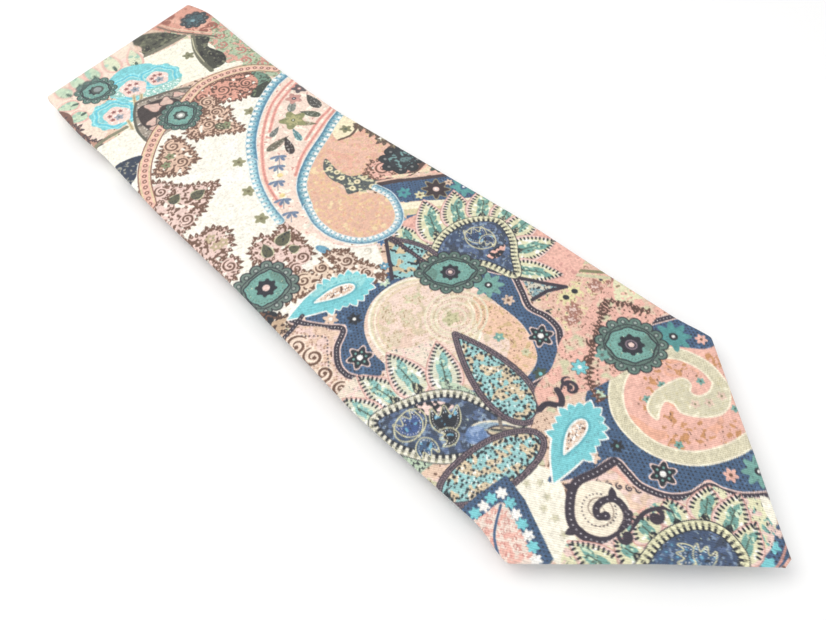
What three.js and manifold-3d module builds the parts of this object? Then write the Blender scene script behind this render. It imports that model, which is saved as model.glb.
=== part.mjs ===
// A necktie folded in four, lying flat with the face of its wide front blade up.
//
// The tie is one long strip, laid to and fro in four layers. From the top they are the front
// blade, the front shank, the rear shank and the tail blade. The far fold joins the blade to the
// front shank, the near fold joins the two shanks, and the tail fold joins the rear shank to the
// tail blade. Each layer is a shell of cloth around an interlining, closed along the back by a
// slip-stitched seam. The backs of the blade and the front shank face each other, and so do the
// backs of the rear shank and the tail.
//
// Millimetres, +Z up. X runs across the tie, and Y from the front tip to the far fold. The origin
// is on the ground, under the middle of the folded tie.

import * as THREE from 'three';
import { mergeVertices } from 'three/addons/utils/BufferGeometryUtils.js';
import Module from 'manifold-3d';

const wasm = await Module();
wasm.setup();

// Driving dimensions: lengths of the folded layers.
const bladeLength = 366;          // front tip to far fold
const nearFoldSetback = 32;       // near fold, inside the front tip
const tailTipSetback = 48;        // tail tip, inside the front tip
const tailFoldSetback = 1.5;      // tail fold, inside the far fold

// Driving dimensions: widths along the tie.
const bladeWidth = 110;           // across the front blade's corners
const farFoldWidth = 92;
const nearFoldWidth = 46;
const neckWidth = 40;             // the narrowest place, half way along the rear shank
const tailFoldWidth = 42;
const tailWidth = 52;             // across the tail blade's corners
const tipHalfAngle = 42;          // degrees, between a tip's edge and the centre line
const tipRounding = 2.5;          // length cut off each tip and corner

// Cloth thicknesses, and the air between pieces that touch on the real tie.
const shellWall = 0.3;
const interliningThickness = 0.5;
const pieceGap = 0.3;

// Air between two layers. The backs have the labels, the keeper and the threads between them.
const farFoldGap = 1.3;
const nearFoldGap = 0.4;
const tailFoldGap = 1.1;
const foldSlit = 0.3;             // between the two halves of a fold's round edge

// The back of the tie: hems, tippings, centre seam and piecing seams.
const hemWidth = 11;              // from a tip's edge to its tipping
const frontSeamStart = 128;       // front tip to the end of the slip stitching
const tailSeamStart = 72;         // tail tip to the end of the slip stitching
const seamWidth = 1.1;            // between the shell's two back edges
const seamThread = 0.4;
const piecingAngle = 45;          // degrees, a bias seam across the strip
const frontPiecing = 172;         // far fold to the first piecing seam
const rearPiecing = 190;          // near fold to the second piecing seam
const piecingGap = 0.9;           // between two shell pieces, where their stitches are
const piecingStitchShare = 0.88;   // of the strip's width that a piecing seam's stitches cross

// Trim on the back of the front blade, and on the tail.
const trimThickness = 0.35;
const labelWidth = 46;
const labelHeight = 17;
const labelAboveSeamStart = 20;
const careLabelWidth = 13;
const careLabelHeight = 22;
const careLabelAside = 24;        // from the centre line to the care label's middle
const keeperLength = 64;
const keeperWidth = 11;
const keeperAboveLabel = 36;
const tackLength = 8;
const tackWidth = 1.2;
const tackBesideSeam = 4;         // from the end of the seam to the bar tack's middle
const threadLoopRadius = 4;

const radians = Math.PI / 180;
const arcSteps = 6;               // steps in a quarter of a round edge
const overlap = 1;                // how far a cutting solid reaches past what it cuts

// Heights. A layer is two walls of cloth, with the interlining free between them.
const layerThickness = 2 * shellWall + interliningThickness + 2 * pieceGap;
const edgeRadius = layerThickness / 2;
const tailZ = 0;
const rearShankZ = tailZ + layerThickness + tailFoldGap;
const frontShankZ = rearShankZ + layerThickness + nearFoldGap;
const bladeZ = frontShankZ + layerThickness + farFoldGap;

// Where a blade's two corners are, for a tip that is cut a little blunt.
function cornerAbove(tipY, width) {
  const cutOff = tipRounding * Math.cos(tipHalfAngle * radians);
  return tipY - cutOff + width / 2 / Math.tan(tipHalfAngle * radians);
}

// Places along Y.
const frontTipY = -bladeLength / 2;
const farFoldY = bladeLength / 2;
const nearFoldY = frontTipY + nearFoldSetback;
const tailFoldY = farFoldY - tailFoldSetback;
const tailTipY = frontTipY + tailTipSetback;
const frontPiecingY = farFoldY - frontPiecing;
const rearPiecingY = nearFoldY + rearPiecing;
const shankMiddleY = (nearFoldY + farFoldY) / 2;
const bladeCornerY = cornerAbove(frontTipY, bladeWidth);
const tailCornerY = cornerAbove(tailTipY, tailWidth);

// The three folds. Each turns about a line across its outermost point, half way up its air gap.
const farFold = { y: farFoldY, side: 1, z: bladeZ - farFoldGap / 2, gap: farFoldGap };
const nearFold = { y: nearFoldY, side: -1, z: frontShankZ - nearFoldGap / 2, gap: nearFoldGap };
const tailFold = { y: tailFoldY, side: 1, z: rearShankZ - tailFoldGap / 2, gap: tailFoldGap };

// ---- materials ----

const printedSilk = { color: 0xa08a78, roughness: 0.55, metalness: 0 };
const plainTipping = { color: 0x2a3145, roughness: 0.4, metalness: 0 };
const canvas = { color: 0xd9d2c2, roughness: 0.95, metalness: 0 };
const thread = { color: 0x33384a, roughness: 0.6, metalness: 0 };
const labelSatin = { color: 0xece6da, roughness: 0.5, metalness: 0 };

// ---- solids ----

function toSolid(geometry) {
  geometry.deleteAttribute('normal');
  geometry.deleteAttribute('uv');
  const merged = mergeVertices(geometry, 1e-4);
  return new wasm.Manifold(new wasm.Mesh({
    numProp: 3,
    vertProperties: new Float32Array(merged.attributes.position.array),
    triVerts: new Uint32Array(merged.index.array),
  }));
}

function toGeometry(solid) {
  const mesh = solid.getMesh();
  const geometry = new THREE.BufferGeometry();
  geometry.setAttribute('position', new THREE.BufferAttribute(new Float32Array(mesh.vertProperties), 3));
  geometry.setIndex(new THREE.BufferAttribute(new Uint32Array(mesh.triVerts), 1));
  geometry.computeVertexNormals();
  return geometry;
}

// A flat prism of an outline, from zLow to zHigh.
function prism(outline, zLow, zHigh) {
  const geometry = new THREE.ExtrudeGeometry(new THREE.Shape(outline), {
    depth: zHigh - zLow,
    bevelEnabled: false,
  });
  geometry.translate(0, 0, zLow);
  return geometry;
}

// Each corner of a counter-clockwise outline, moved inwards from both of its edges by distance.
function inset(outline, distance) {
  return outline.map((point, i) => {
    const before = outline[(i + outline.length - 1) % outline.length];
    const after = outline[(i + 1) % outline.length];
    const a = new THREE.Vector2(before.y - point.y, point.x - before.x).normalize();
    const b = new THREE.Vector2(point.y - after.y, after.x - point.x).normalize();
    const mitre = a.clone().add(b).multiplyScalar(distance / (1 + a.dot(b)));
    return point.clone().add(mitre);
  });
}

// A flat plate with a half-round rim all the way round, as a layer of folded cloth has.
function roundedPlate(outline, zLow, zHigh) {
  const radius = (zHigh - zLow) / 2;
  const positions = [];
  const steps = 2 * arcSteps;
  for (let step = 0; step <= steps; step += 1) {
    const angle = (Math.PI * step) / steps;
    const z = zLow + radius - radius * Math.cos(angle);
    for (const point of inset(outline, radius * (1 - Math.sin(angle)))) {
      positions.push(point.x, point.y, z);
    }
  }
  const count = outline.length;
  const indices = [];
  for (let step = 0; step < steps; step += 1) {
    for (let i = 0; i < count; i += 1) {
      const low = step * count + i;
      const lowNext = step * count + ((i + 1) % count);
      indices.push(low, lowNext, lowNext + count, low, lowNext + count, low + count);
    }
  }
  const top = steps * count;
  for (const [a, b, c] of THREE.ShapeUtils.triangulateShape(outline, [])) {
    indices.push(a, c, b, top + a, top + b, top + c);
  }
  const geometry = new THREE.BufferGeometry();
  geometry.setAttribute('position', new THREE.BufferAttribute(new Float32Array(positions), 3));
  geometry.setIndex(indices);
  return geometry;
}

function box(width, length, height, x, y, zLow) {
  const geometry = new THREE.BoxGeometry(width, length, height);
  geometry.translate(x, y, zLow + height / 2);
  return geometry;
}

// ---- the outline of each layer ----

// Half the width of a layer at y, between the widths at the two ends of a tapering stretch.
function halfWidth(y, yA, widthA, yB, widthB) {
  return (widthA + (widthB - widthA) * (y - yA) / (yB - yA)) / 2;
}

// A counter-clockwise outline from its right-hand corners, listed from the lowest y upwards.
function mirrored(right) {
  const left = right.filter((point) => point.x > 0).reverse();
  return [...right, ...left.map((point) => new THREE.Vector2(-point.x, point.y))];
}

// A blade: a blunt tip, two blunt corners, and straight sides to the far end.
function bladeOutline(tipY, cornerY, width, endY, foldY, foldWidth) {
  const sine = Math.sin(tipHalfAngle * radians);
  const cosine = Math.cos(tipHalfAngle * radians);
  const half = width / 2;
  const cut = tipRounding;
  return mirrored([
    new THREE.Vector2(cut * sine, tipY),
    new THREE.Vector2(half - cut * sine, cornerY - cut * cosine),
    new THREE.Vector2(halfWidth(cornerY + cut, cornerY, width, foldY, foldWidth), cornerY + cut),
    new THREE.Vector2(halfWidth(endY, cornerY, width, foldY, foldWidth), endY),
  ]);
}

// The part of a fold's round edge that is in one layer has this radius.
function noseRadius(fold) {
  return layerThickness + fold.gap / 2 - foldSlit / 2;
}

// Where a layer's flat part ends and its share of the fold's round edge begins.
function noseStart(fold) {
  return fold.y - fold.side * noseRadius(fold);
}

// Where the back seam stops, short of a fold's solid round edge.
function seamEnd(fold) {
  return noseStart(fold) - fold.side * 3 * shellWall;
}

// A plate's rim is buried in the round edge that it runs into.
function plateEnd(fold) {
  return noseStart(fold) + fold.side * edgeRadius;
}

// Half of a fold's round edge: a quarter-round bar across the tie, above or below the fold's slit.
function nose(fold, width, above) {
  const radius = noseRadius(fold);
  const direction = above ? 1 : -1;
  const startY = noseStart(fold);
  const startZ = fold.z + direction * foldSlit / 2;
  const outline = [new THREE.Vector2(startY, startZ)];
  for (let step = 0; step <= arcSteps; step += 1) {
    const angle = (Math.PI / 2) * step / arcSteps;
    outline.push(new THREE.Vector2(
      startY + fold.side * radius * Math.cos(angle),
      startZ + direction * radius * Math.sin(angle),
    ));
  }
  const length = width - 2 * shellWall;
  const geometry = new THREE.ExtrudeGeometry(new THREE.Shape(outline), {
    depth: length,
    bevelEnabled: false,
  });
  geometry.applyMatrix4(new THREE.Matrix4().makeBasis(
    new THREE.Vector3(0, 1, 0),
    new THREE.Vector3(0, 0, 1),
    new THREE.Vector3(1, 0, 0),
  ));
  geometry.translate(-length / 2, 0, 0);
  return toSolid(geometry);
}

const bladeShape = bladeOutline(
  frontTipY, bladeCornerY, bladeWidth, plateEnd(farFold), farFoldY, farFoldWidth,
);
const tailShape = bladeOutline(
  tailTipY, tailCornerY, tailWidth, plateEnd(tailFold), tailFoldY, tailFoldWidth,
);
const frontShankShape = mirrored([
  new THREE.Vector2(
    halfWidth(plateEnd(nearFold), nearFoldY, nearFoldWidth, farFoldY, farFoldWidth),
    plateEnd(nearFold),
  ),
  new THREE.Vector2(
    halfWidth(plateEnd(farFold), nearFoldY, nearFoldWidth, farFoldY, farFoldWidth),
    plateEnd(farFold),
  ),
]);
const rearShankShape = mirrored([
  new THREE.Vector2(
    halfWidth(plateEnd(nearFold), nearFoldY, nearFoldWidth, shankMiddleY, neckWidth),
    plateEnd(nearFold),
  ),
  new THREE.Vector2(neckWidth / 2, shankMiddleY),
  new THREE.Vector2(
    halfWidth(plateEnd(tailFold), shankMiddleY, neckWidth, tailFoldY, tailFoldWidth),
    plateEnd(tailFold),
  ),
]);

// ---- the layers ----

// Moves a layer's ends in from its folds, where the round edges are solid cloth.
function clearOfFolds(outline, ends, distance) {
  return outline.map((point) => {
    const fold = ends.find((end) => point.y === plateEnd(end));
    return fold ? new THREE.Vector2(point.x, noseStart(fold) - fold.side * distance) : point;
  });
}

// The shell of one layer, hollow and open along its back seam. The back is up or down, the seam
// runs from seamFrom to seamTo, and a blade also has a window at its tip for its tipping.
function shell({ outline, zLow, folds, backUp, seamFrom, seamTo, window }) {
  const zHigh = zLow + layerThickness;
  let solid = toSolid(roundedPlate(outline, zLow, zHigh));
  for (const { fold, width, above } of folds) {
    solid = solid.add(nose(fold, width, above));
  }
  const room = clearOfFolds(outline, folds.map((end) => end.fold), 0);
  solid = solid.subtract(toSolid(prism(inset(room, shellWall), zLow + shellWall, zHigh - shellWall)));
  const backLow = backUp ? zHigh - shellWall - pieceGap / 2 : zLow - overlap;
  const backHeight = shellWall + pieceGap / 2 + overlap;
  const seamLength = seamTo - seamFrom;
  const seam = box(seamWidth, seamLength, backHeight, 0, seamFrom + seamLength / 2, backLow);
  solid = solid.subtract(toSolid(seam));
  if (window) {
    solid = solid.subtract(toSolid(prism(window, backLow, backLow + backHeight)));
  }
  return solid;
}

function interlining(outline, zLow, folds) {
  const room = clearOfFolds(outline, folds, 0);
  const zBottom = zLow + shellWall + pieceGap;
  return prism(inset(room, shellWall + pieceGap), zBottom, zBottom + interliningThickness);
}

// The kite that the hems and the two back edges leave open at a blade's tip.
function tippingWindow(tipY, cornerY, width, seamStart) {
  const hemAtTip = hemWidth / Math.sin(tipHalfAngle * radians);
  return [
    new THREE.Vector2(0, tipY + hemAtTip),
    new THREE.Vector2(width / 2 - hemWidth, cornerY),
    new THREE.Vector2(0, tipY + seamStart),
    new THREE.Vector2(-width / 2 + hemWidth, cornerY),
  ];
}

// The side of a slanting piecing seam that lies towards +Y (side 1) or -Y (side -1).
function besidePiecing(y, side) {
  const size = 2 * bladeLength;
  const geometry = new THREE.BoxGeometry(size, size, size);
  geometry.translate(0, side * (size / 2 + piecingGap / 2), 0);
  geometry.rotateZ(piecingAngle * radians);
  geometry.translate(0, y, 0);
  return toSolid(geometry);
}

// The line of stitches along a piecing seam, in the shell's face.
function piecingStitch(y, width, zLow) {
  const length = (piecingStitchShare * width) / Math.cos(piecingAngle * radians);
  const geometry = box(length, piecingGap - 2 * pieceGap, shellWall, 0, 0, zLow);
  geometry.rotateZ(piecingAngle * radians);
  geometry.translate(0, y, 0);
  return geometry;
}

// The slip stitching: one long thread in the slot between the back's two edges.
function slipStitch(seamFrom, seamTo, zLow) {
  const length = seamTo - seamFrom - 2 * pieceGap;
  return box(seamThread, length, shellWall, 0, (seamFrom + seamTo) / 2, zLow);
}

function ring(radius, width, x, y, zLow, height) {
  const shape = new THREE.Shape();
  shape.absarc(x, y, radius, 0, 2 * Math.PI, false);
  const hole = new THREE.Path();
  hole.absarc(x, y, radius - width, 0, 2 * Math.PI, true);
  shape.holes.push(hole);
  const geometry = new THREE.ExtrudeGeometry(shape, {
    depth: height,
    bevelEnabled: false,
    curveSegments: 4 * arcSteps,
  });
  geometry.translate(0, 0, zLow);
  return geometry;
}

// ---- the tie ----

const tie = new THREE.Group();

function addPiece(name, geometry, material) {
  const mesh = new THREE.Mesh(geometry, new THREE.MeshStandardMaterial(material));
  mesh.name = name;
  tie.add(mesh);
}

// Front blade: the top layer, its back down.
const bladeSeamFrom = frontTipY + frontSeamStart;
const bladeSeamTo = seamEnd(farFold);
const frontWindow = tippingWindow(frontTipY, bladeCornerY, bladeWidth, frontSeamStart);
const bladeShell = shell({
  outline: bladeShape,
  zLow: bladeZ,
  folds: [{ fold: farFold, width: farFoldWidth, above: true }],
  backUp: false,
  seamFrom: bladeSeamFrom - seamWidth,
  seamTo: bladeSeamTo,
  window: frontWindow,
});
addPiece('front_blade_shell', toGeometry(bladeShell), printedSilk);
addPiece('front_blade_interlining', interlining(bladeShape, bladeZ, [farFold]), canvas);
addPiece(
  'front_tipping',
  prism(inset(frontWindow, pieceGap), bladeZ, bladeZ + shellWall),
  plainTipping,
);
addPiece('front_slip_stitch', slipStitch(bladeSeamFrom, bladeSeamTo, bladeZ), thread);

// The trim on the blade's back lies under it, in the far fold's air gap.
const trimZ = bladeZ - pieceGap - trimThickness;
const labelY = bladeSeamFrom + labelAboveSeamStart;
const keeperY = labelY + keeperAboveLabel;
addPiece(
  'front_bar_tack',
  box(tackLength, tackWidth, trimThickness, 0, bladeSeamFrom + tackBesideSeam, trimZ),
  thread,
);
addPiece(
  'blank_label',
  box(labelWidth, labelHeight, trimThickness, 0, labelY, trimZ),
  labelSatin,
);
addPiece(
  'blank_care_label',
  box(
    careLabelWidth, careLabelHeight, trimThickness,
    careLabelAside, labelY - (labelHeight + careLabelHeight) / 2 - 2 * pieceGap, trimZ,
  ),
  labelSatin,
);
addPiece(
  'keeper_loop',
  box(keeperLength, keeperWidth, trimThickness, 0, keeperY, trimZ),
  printedSilk,
);
for (const [end, side] of [['left', -1], ['right', 1]]) {
  const labelTackX = side * (labelWidth / 2 + pieceGap + tackWidth / 2);
  const keeperTackX = side * (keeperLength / 2 + pieceGap + tackWidth / 2);
  addPiece(
    `label_tack_${end}`,
    box(tackWidth, labelHeight, trimThickness, labelTackX, labelY, trimZ),
    thread,
  );
  addPiece(
    `keeper_tack_${end}`,
    box(tackWidth, keeperWidth, trimThickness, keeperTackX, keeperY, trimZ),
    thread,
  );
}

// Front shank: the second layer, its back up. The front piece of cloth ends at a piecing seam
// along it, and the neck piece begins.
const frontShankShell = shell({
  outline: frontShankShape,
  zLow: frontShankZ,
  folds: [
    { fold: farFold, width: farFoldWidth, above: false },
    { fold: nearFold, width: nearFoldWidth, above: true },
  ],
  backUp: true,
  seamFrom: seamEnd(nearFold),
  seamTo: bladeSeamTo,
});
const frontShankStitchZ = frontShankZ + layerThickness - shellWall;
addPiece(
  'front_shank_shell',
  toGeometry(frontShankShell.intersect(besidePiecing(frontPiecingY, 1))),
  printedSilk,
);
addPiece(
  'neck_shell_front',
  toGeometry(frontShankShell.intersect(besidePiecing(frontPiecingY, -1))),
  printedSilk,
);
addPiece(
  'front_shank_interlining',
  interlining(frontShankShape, frontShankZ, [farFold, nearFold]),
  canvas,
);
addPiece(
  'front_shank_slip_stitch',
  slipStitch(seamEnd(nearFold), bladeSeamTo, frontShankStitchZ),
  thread,
);
addPiece(
  'front_piecing_stitch',
  piecingStitch(frontPiecingY, (nearFoldWidth + farFoldWidth) / 2, frontShankZ),
  thread,
);

// Rear shank: the third layer, its back down. The neck piece ends at the second piecing seam,
// and the tail piece begins.
const rearShankShell = shell({
  outline: rearShankShape,
  zLow: rearShankZ,
  folds: [
    { fold: nearFold, width: nearFoldWidth, above: false },
    { fold: tailFold, width: tailFoldWidth, above: true },
  ],
  backUp: false,
  seamFrom: seamEnd(nearFold),
  seamTo: seamEnd(tailFold),
});
addPiece(
  'neck_shell_rear',
  toGeometry(rearShankShell.intersect(besidePiecing(rearPiecingY, -1))),
  printedSilk,
);
addPiece(
  'rear_shank_shell',
  toGeometry(rearShankShell.intersect(besidePiecing(rearPiecingY, 1))),
  printedSilk,
);
addPiece(
  'rear_shank_interlining',
  interlining(rearShankShape, rearShankZ, [nearFold, tailFold]),
  canvas,
);
addPiece(
  'rear_shank_slip_stitch',
  slipStitch(seamEnd(nearFold), seamEnd(tailFold), rearShankZ),
  thread,
);
addPiece(
  'rear_piecing_stitch',
  piecingStitch(rearPiecingY, neckWidth, rearShankZ + layerThickness - shellWall),
  thread,
);

// Tail blade: the bottom layer, its back up and its face on the ground.
const tailSeamFrom = tailTipY + tailSeamStart;
const tailSeamTo = seamEnd(tailFold);
const tailBackZ = tailZ + layerThickness;
const tailWindow = tippingWindow(tailTipY, tailCornerY, tailWidth, tailSeamStart);
const tailShell = shell({
  outline: tailShape,
  zLow: tailZ,
  folds: [{ fold: tailFold, width: tailFoldWidth, above: false }],
  backUp: true,
  seamFrom: tailSeamFrom - seamWidth,
  seamTo: tailSeamTo,
  window: tailWindow,
});
addPiece('tail_blade_shell', toGeometry(tailShell), printedSilk);
addPiece('tail_blade_interlining', interlining(tailShape, tailZ, [tailFold]), canvas);
addPiece(
  'tail_tipping',
  prism(inset(tailWindow, pieceGap), tailBackZ - shellWall, tailBackZ),
  plainTipping,
);
addPiece(
  'tail_slip_stitch',
  slipStitch(tailSeamFrom, tailSeamTo, tailBackZ - shellWall),
  thread,
);
addPiece(
  'tail_bar_tack',
  box(
    tackLength, tackWidth, trimThickness,
    0, tailSeamFrom + tackBesideSeam, tailBackZ + pieceGap,
  ),
  thread,
);
addPiece(
  'spare_thread_loop',
  ring(
    threadLoopRadius, seamThread,
    0, tailSeamFrom - threadLoopRadius, tailBackZ + pieceGap, trimThickness,
  ),
  thread,
);

export default tie;
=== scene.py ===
"""A paisley silk necktie, folded in four with its slip-stitched seam inside, on a pale floor.

The cloth is laid out along one strip, from the front tip to the tail tip: `along` is the distance along the
strip's middle and `aside` the distance across it, in millimetres. The print is painted in the same terms.
"""

from collections import namedtuple

import bpy
import numpy as np
from mathutils import Matrix, Vector


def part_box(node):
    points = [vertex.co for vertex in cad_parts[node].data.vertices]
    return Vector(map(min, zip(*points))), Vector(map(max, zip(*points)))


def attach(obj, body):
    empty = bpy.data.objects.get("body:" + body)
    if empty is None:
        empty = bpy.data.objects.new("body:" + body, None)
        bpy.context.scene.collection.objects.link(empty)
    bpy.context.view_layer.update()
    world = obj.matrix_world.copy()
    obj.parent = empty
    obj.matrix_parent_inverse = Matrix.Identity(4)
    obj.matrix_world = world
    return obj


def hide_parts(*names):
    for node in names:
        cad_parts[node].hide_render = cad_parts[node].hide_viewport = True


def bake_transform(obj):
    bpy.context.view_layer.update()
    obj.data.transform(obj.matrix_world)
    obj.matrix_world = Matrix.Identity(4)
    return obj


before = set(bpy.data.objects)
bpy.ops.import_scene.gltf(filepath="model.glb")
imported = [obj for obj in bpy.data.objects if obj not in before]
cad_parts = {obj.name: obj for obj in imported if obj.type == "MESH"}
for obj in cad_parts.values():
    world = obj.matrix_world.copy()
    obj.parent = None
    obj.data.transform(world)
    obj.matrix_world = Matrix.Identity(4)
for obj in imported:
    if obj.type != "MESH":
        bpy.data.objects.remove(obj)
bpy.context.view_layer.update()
MM = 0.001

VIEW_TURN = (-42.99, 53.71, -2.71)              # azimuth, elevation and roll, in degrees
VIEW_TARGET = Vector((-0.00521, -0.03344, 0.0))
VIEW_DISTANCE = 0.28618
LENS = 32.25


# ---- Camera, light and floor.
def aim(azimuth, elevation, roll):
    """The camera's turn: round the object, up from the floor, and about its own axis, in degrees."""
    a, e, r = np.radians([azimuth, elevation, roll])
    back = Vector((np.sin(a) * np.cos(e), -np.cos(a) * np.cos(e), np.sin(e)))
    right = (-back).cross(Vector((0, 0, 1))).normalized()
    up = back.cross(right)
    right, up = np.cos(r) * right + np.sin(r) * up, np.cos(r) * up - np.sin(r) * right
    return Matrix((right, up, back)).transposed(), back


def make_camera():
    turn, back = aim(*VIEW_TURN)
    data = bpy.data.cameras.new("camera")
    data.sensor_width = 36.0
    data.lens = LENS
    data.clip_start = 0.01
    camera = bpy.data.objects.new("camera", data)
    bpy.context.scene.collection.objects.link(camera)
    camera.matrix_world = Matrix.Translation(VIEW_TARGET + VIEW_DISTANCE * back) @ turn.to_4x4()
    bpy.context.scene.camera = camera


def area_light(name, place, size, power, colour):
    data = bpy.data.lights.new(name, "AREA")
    data.size = size
    data.energy = power
    data.color = colour
    light = bpy.data.objects.new(name, data)
    bpy.context.scene.collection.objects.link(light)
    light.location = place
    light.rotation_euler = (-Vector(place)).to_track_quat("-Z", "Y").to_euler()


def make_stage():
    world = bpy.data.worlds.new("studio")
    world.use_nodes = True
    background = world.node_tree.nodes["Background"]
    background.inputs["Color"].default_value = (1.0, 1.0, 1.0, 1.0)
    background.inputs["Strength"].default_value = 0.8
    bpy.context.scene.world = world
    area_light("key", (-0.2, 0.25, 0.68), 0.5, 2.0, (1.0, 0.98, 0.95))
    area_light("fill", (-0.3, -0.5, 0.7), 0.8, 1.0, (0.96, 0.98, 1.0))
    reach = 1.5
    corners = [(-reach, -reach, 0), (reach, -reach, 0), (reach, reach, 0), (-reach, reach, 0)]
    mesh = bpy.data.meshes.new("floor")
    mesh.from_pydata(corners, [], [(0, 1, 2, 3)])
    floor = bpy.data.objects.new("floor", mesh)
    floor.location.z = -0.0003           # just clear of the cloth, so that they don't share a plane
    bpy.context.scene.collection.objects.link(floor)
    material, shader = new_material("paper")
    shader.inputs["Base Color"].default_value = (0.97, 0.97, 0.97, 1.0)
    shader.inputs["Roughness"].default_value = 0.9
    floor.data.materials.append(material)
    bpy.context.scene.view_settings.view_transform = "Standard"


# ---- Materials.
def new_material(name):
    material = bpy.data.materials.new(name)
    material.use_nodes = True
    return material, material.node_tree.nodes["Principled BSDF"]


def add(tree, kind, inputs=(), **settings):
    node = tree.nodes.new(kind)
    for key, value in settings.items():
        setattr(node, key, value)
    for key, value in dict(inputs).items():
        if isinstance(value, bpy.types.NodeSocket):
            tree.links.new(value, node.inputs[key])
        else:
            node.inputs[key].default_value = value
    return node


def cloth_place(tree, stretch):
    """The point on the cloth, in millimetres, scaled."""
    place = add(tree, "ShaderNodeAttribute", attribute_name="cloth")
    scaled = add(tree, "ShaderNodeMapping", {"Vector": place.outputs["Vector"], "Scale": stretch})
    return scaled.outputs["Vector"]


def weave(tree, shader, pitch, twist, depth, fuzz):
    """Threads as bump: two sets of ridges with a little unevenness. pitch is in millimetres."""
    scale = 0.314 / pitch                # a wave texture repeats every 0.314 of its scale
    ridges = add(tree, "ShaderNodeTexWave", {"Vector": cloth_place(tree, (1, twist, 1)), "Scale": scale,
                                             "Distortion": 1.2, "Detail": 2.0, "Detail Scale": 1.5},
                 bands_direction="DIAGONAL")
    cross = add(tree, "ShaderNodeTexWave", {"Vector": cloth_place(tree, (1, 1, 1)), "Scale": scale * 0.8,
                                            "Distortion": 0.8}, bands_direction="Y")
    rough = add(tree, "ShaderNodeTexNoise",
                {"Vector": cloth_place(tree, (1, 1, 1)), "Scale": fuzz, "Detail": 4.0})
    both = add(tree, "ShaderNodeMath", {0: ridges.outputs["Fac"], 1: cross.outputs["Fac"]}, operation="ADD")
    total = add(tree, "ShaderNodeMath", {0: both.outputs[0], 1: rough.outputs["Fac"]}, operation="ADD")
    bump = add(tree, "ShaderNodeBump", {"Height": total.outputs[0], "Strength": depth, "Distance": 0.0002})
    tree.links.new(bump.outputs["Normal"], shader.inputs["Normal"])
    return rough.outputs["Fac"], ridges.outputs["Fac"]


def shaded(tree, colour, factor, low, high):
    """colour, a socket or a value, darkened and lightened by a factor from the weave."""
    shade = add(tree, "ShaderNodeMapRange",
                {"Value": factor, "From Min": 0.25, "From Max": 0.75, "To Min": low, "To Max": high})
    grey = add(tree, "ShaderNodeCombineColor", {channel: shade.outputs[0] for channel in range(3)})
    return add(tree, "ShaderNodeMix", {0: 1.0, 6: colour, 7: grey.outputs[0]}, data_type="RGBA",
               blend_type="MULTIPLY").outputs[2]


def cloth_material(name, colour=None, pitch=0.42, twist=0.6, depth=0.25, fuzz=3.0, roughness=0.55, sheen=0.3,
                   specular=0.3, low=0.9, high=1.06):
    material, shader = new_material(name)
    tree = material.node_tree
    noise, ridges = weave(tree, shader, pitch, twist, depth, fuzz)
    if colour:
        source = (*colour, 1.0)
    else:
        source = add(tree, "ShaderNodeAttribute", attribute_name="print").outputs["Color"]
    toned = shaded(tree, source, noise, low, high)
    tree.links.new(shaded(tree, toned, ridges, low, high), shader.inputs["Base Color"])
    shader.inputs["Roughness"].default_value = roughness
    shader.inputs["Sheen Weight"].default_value = sheen
    shader.inputs["Sheen Roughness"].default_value = 0.4
    shader.inputs["Specular IOR Level"].default_value = specular
    return material


def thread_material(name, colour):
    material, shader = new_material(name)
    tree = material.node_tree
    place = add(tree, "ShaderNodeTexCoord").outputs["Object"]
    twist = add(tree, "ShaderNodeTexWave", {"Vector": place, "Scale": 700.0, "Distortion": 1.0},
                bands_direction="DIAGONAL")
    tree.links.new(shaded(tree, (*colour, 1.0), twist.outputs["Fac"], 0.6, 1.15), shader.inputs["Base Color"])
    bump = add(tree, "ShaderNodeBump", {"Height": twist.outputs["Fac"], "Strength": 0.6, "Distance": 0.0002})
    tree.links.new(bump.outputs["Normal"], shader.inputs["Normal"])
    shader.inputs["Roughness"].default_value = 0.6
    shader.inputs["Sheen Weight"].default_value = 0.2
    return material


# ---- The print: an all-over paisley, painted in millimetres of cloth (across, from the tip).
CELL = 0.17
U_LOW, U_HIGH, V_LOW, V_HIGH = -60.0, 60.0, -8.0, 378.0
COLS = int((U_HIGH - U_LOW) / CELL)
ROWS = int((V_HIGH - V_LOW) / CELL)

CREAM, WHITE, LEMON, MINT = (250, 244, 226), (252, 250, 244), (233, 230, 190), (200, 222, 192)
SALMON, PEACH, PINK, ROSE = (240, 184, 168), (232, 200, 176), (240, 208, 198), (204, 148, 138)
NAVY, NIGHT, PLUM, SLATE = (62, 90, 126), (34, 38, 46), (52, 46, 58), (92, 104, 100)
TEAL, AQUA, BEAD, KHAKI = (112, 166, 156), (118, 206, 214), (98, 160, 190), (206, 202, 166)
RUST, OLIVE, MOSS, PAPER = (104, 74, 60), (128, 126, 92), (64, 78, 68), (251, 247, 234)

cloth = np.empty((ROWS, COLS, 3), np.float32)


def noise_field(spread, seed):
    """Soft noise over the whole print, with blotches about spread millimetres across."""
    random = np.random.default_rng(seed).standard_normal((ROWS, COLS)).astype(np.float32)
    up = np.fft.fftfreq(ROWS, CELL)[:, None]
    across = np.fft.rfftfreq(COLS, CELL)[None]
    soften = np.exp(-2 * (np.pi * spread) ** 2 * (across**2 + up**2))
    field = np.fft.irfft2(np.fft.rfft2(random) * soften, s=(ROWS, COLS))
    return (field / field.std()).astype(np.float32)


FIELDS = {name: noise_field(spread, seed) for name, spread, seed in (
    ("grain", 0.2, 1), ("speck", 0.42, 2), ("blot", 0.8, 3), ("cloud", 3.0, 4))}


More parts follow.
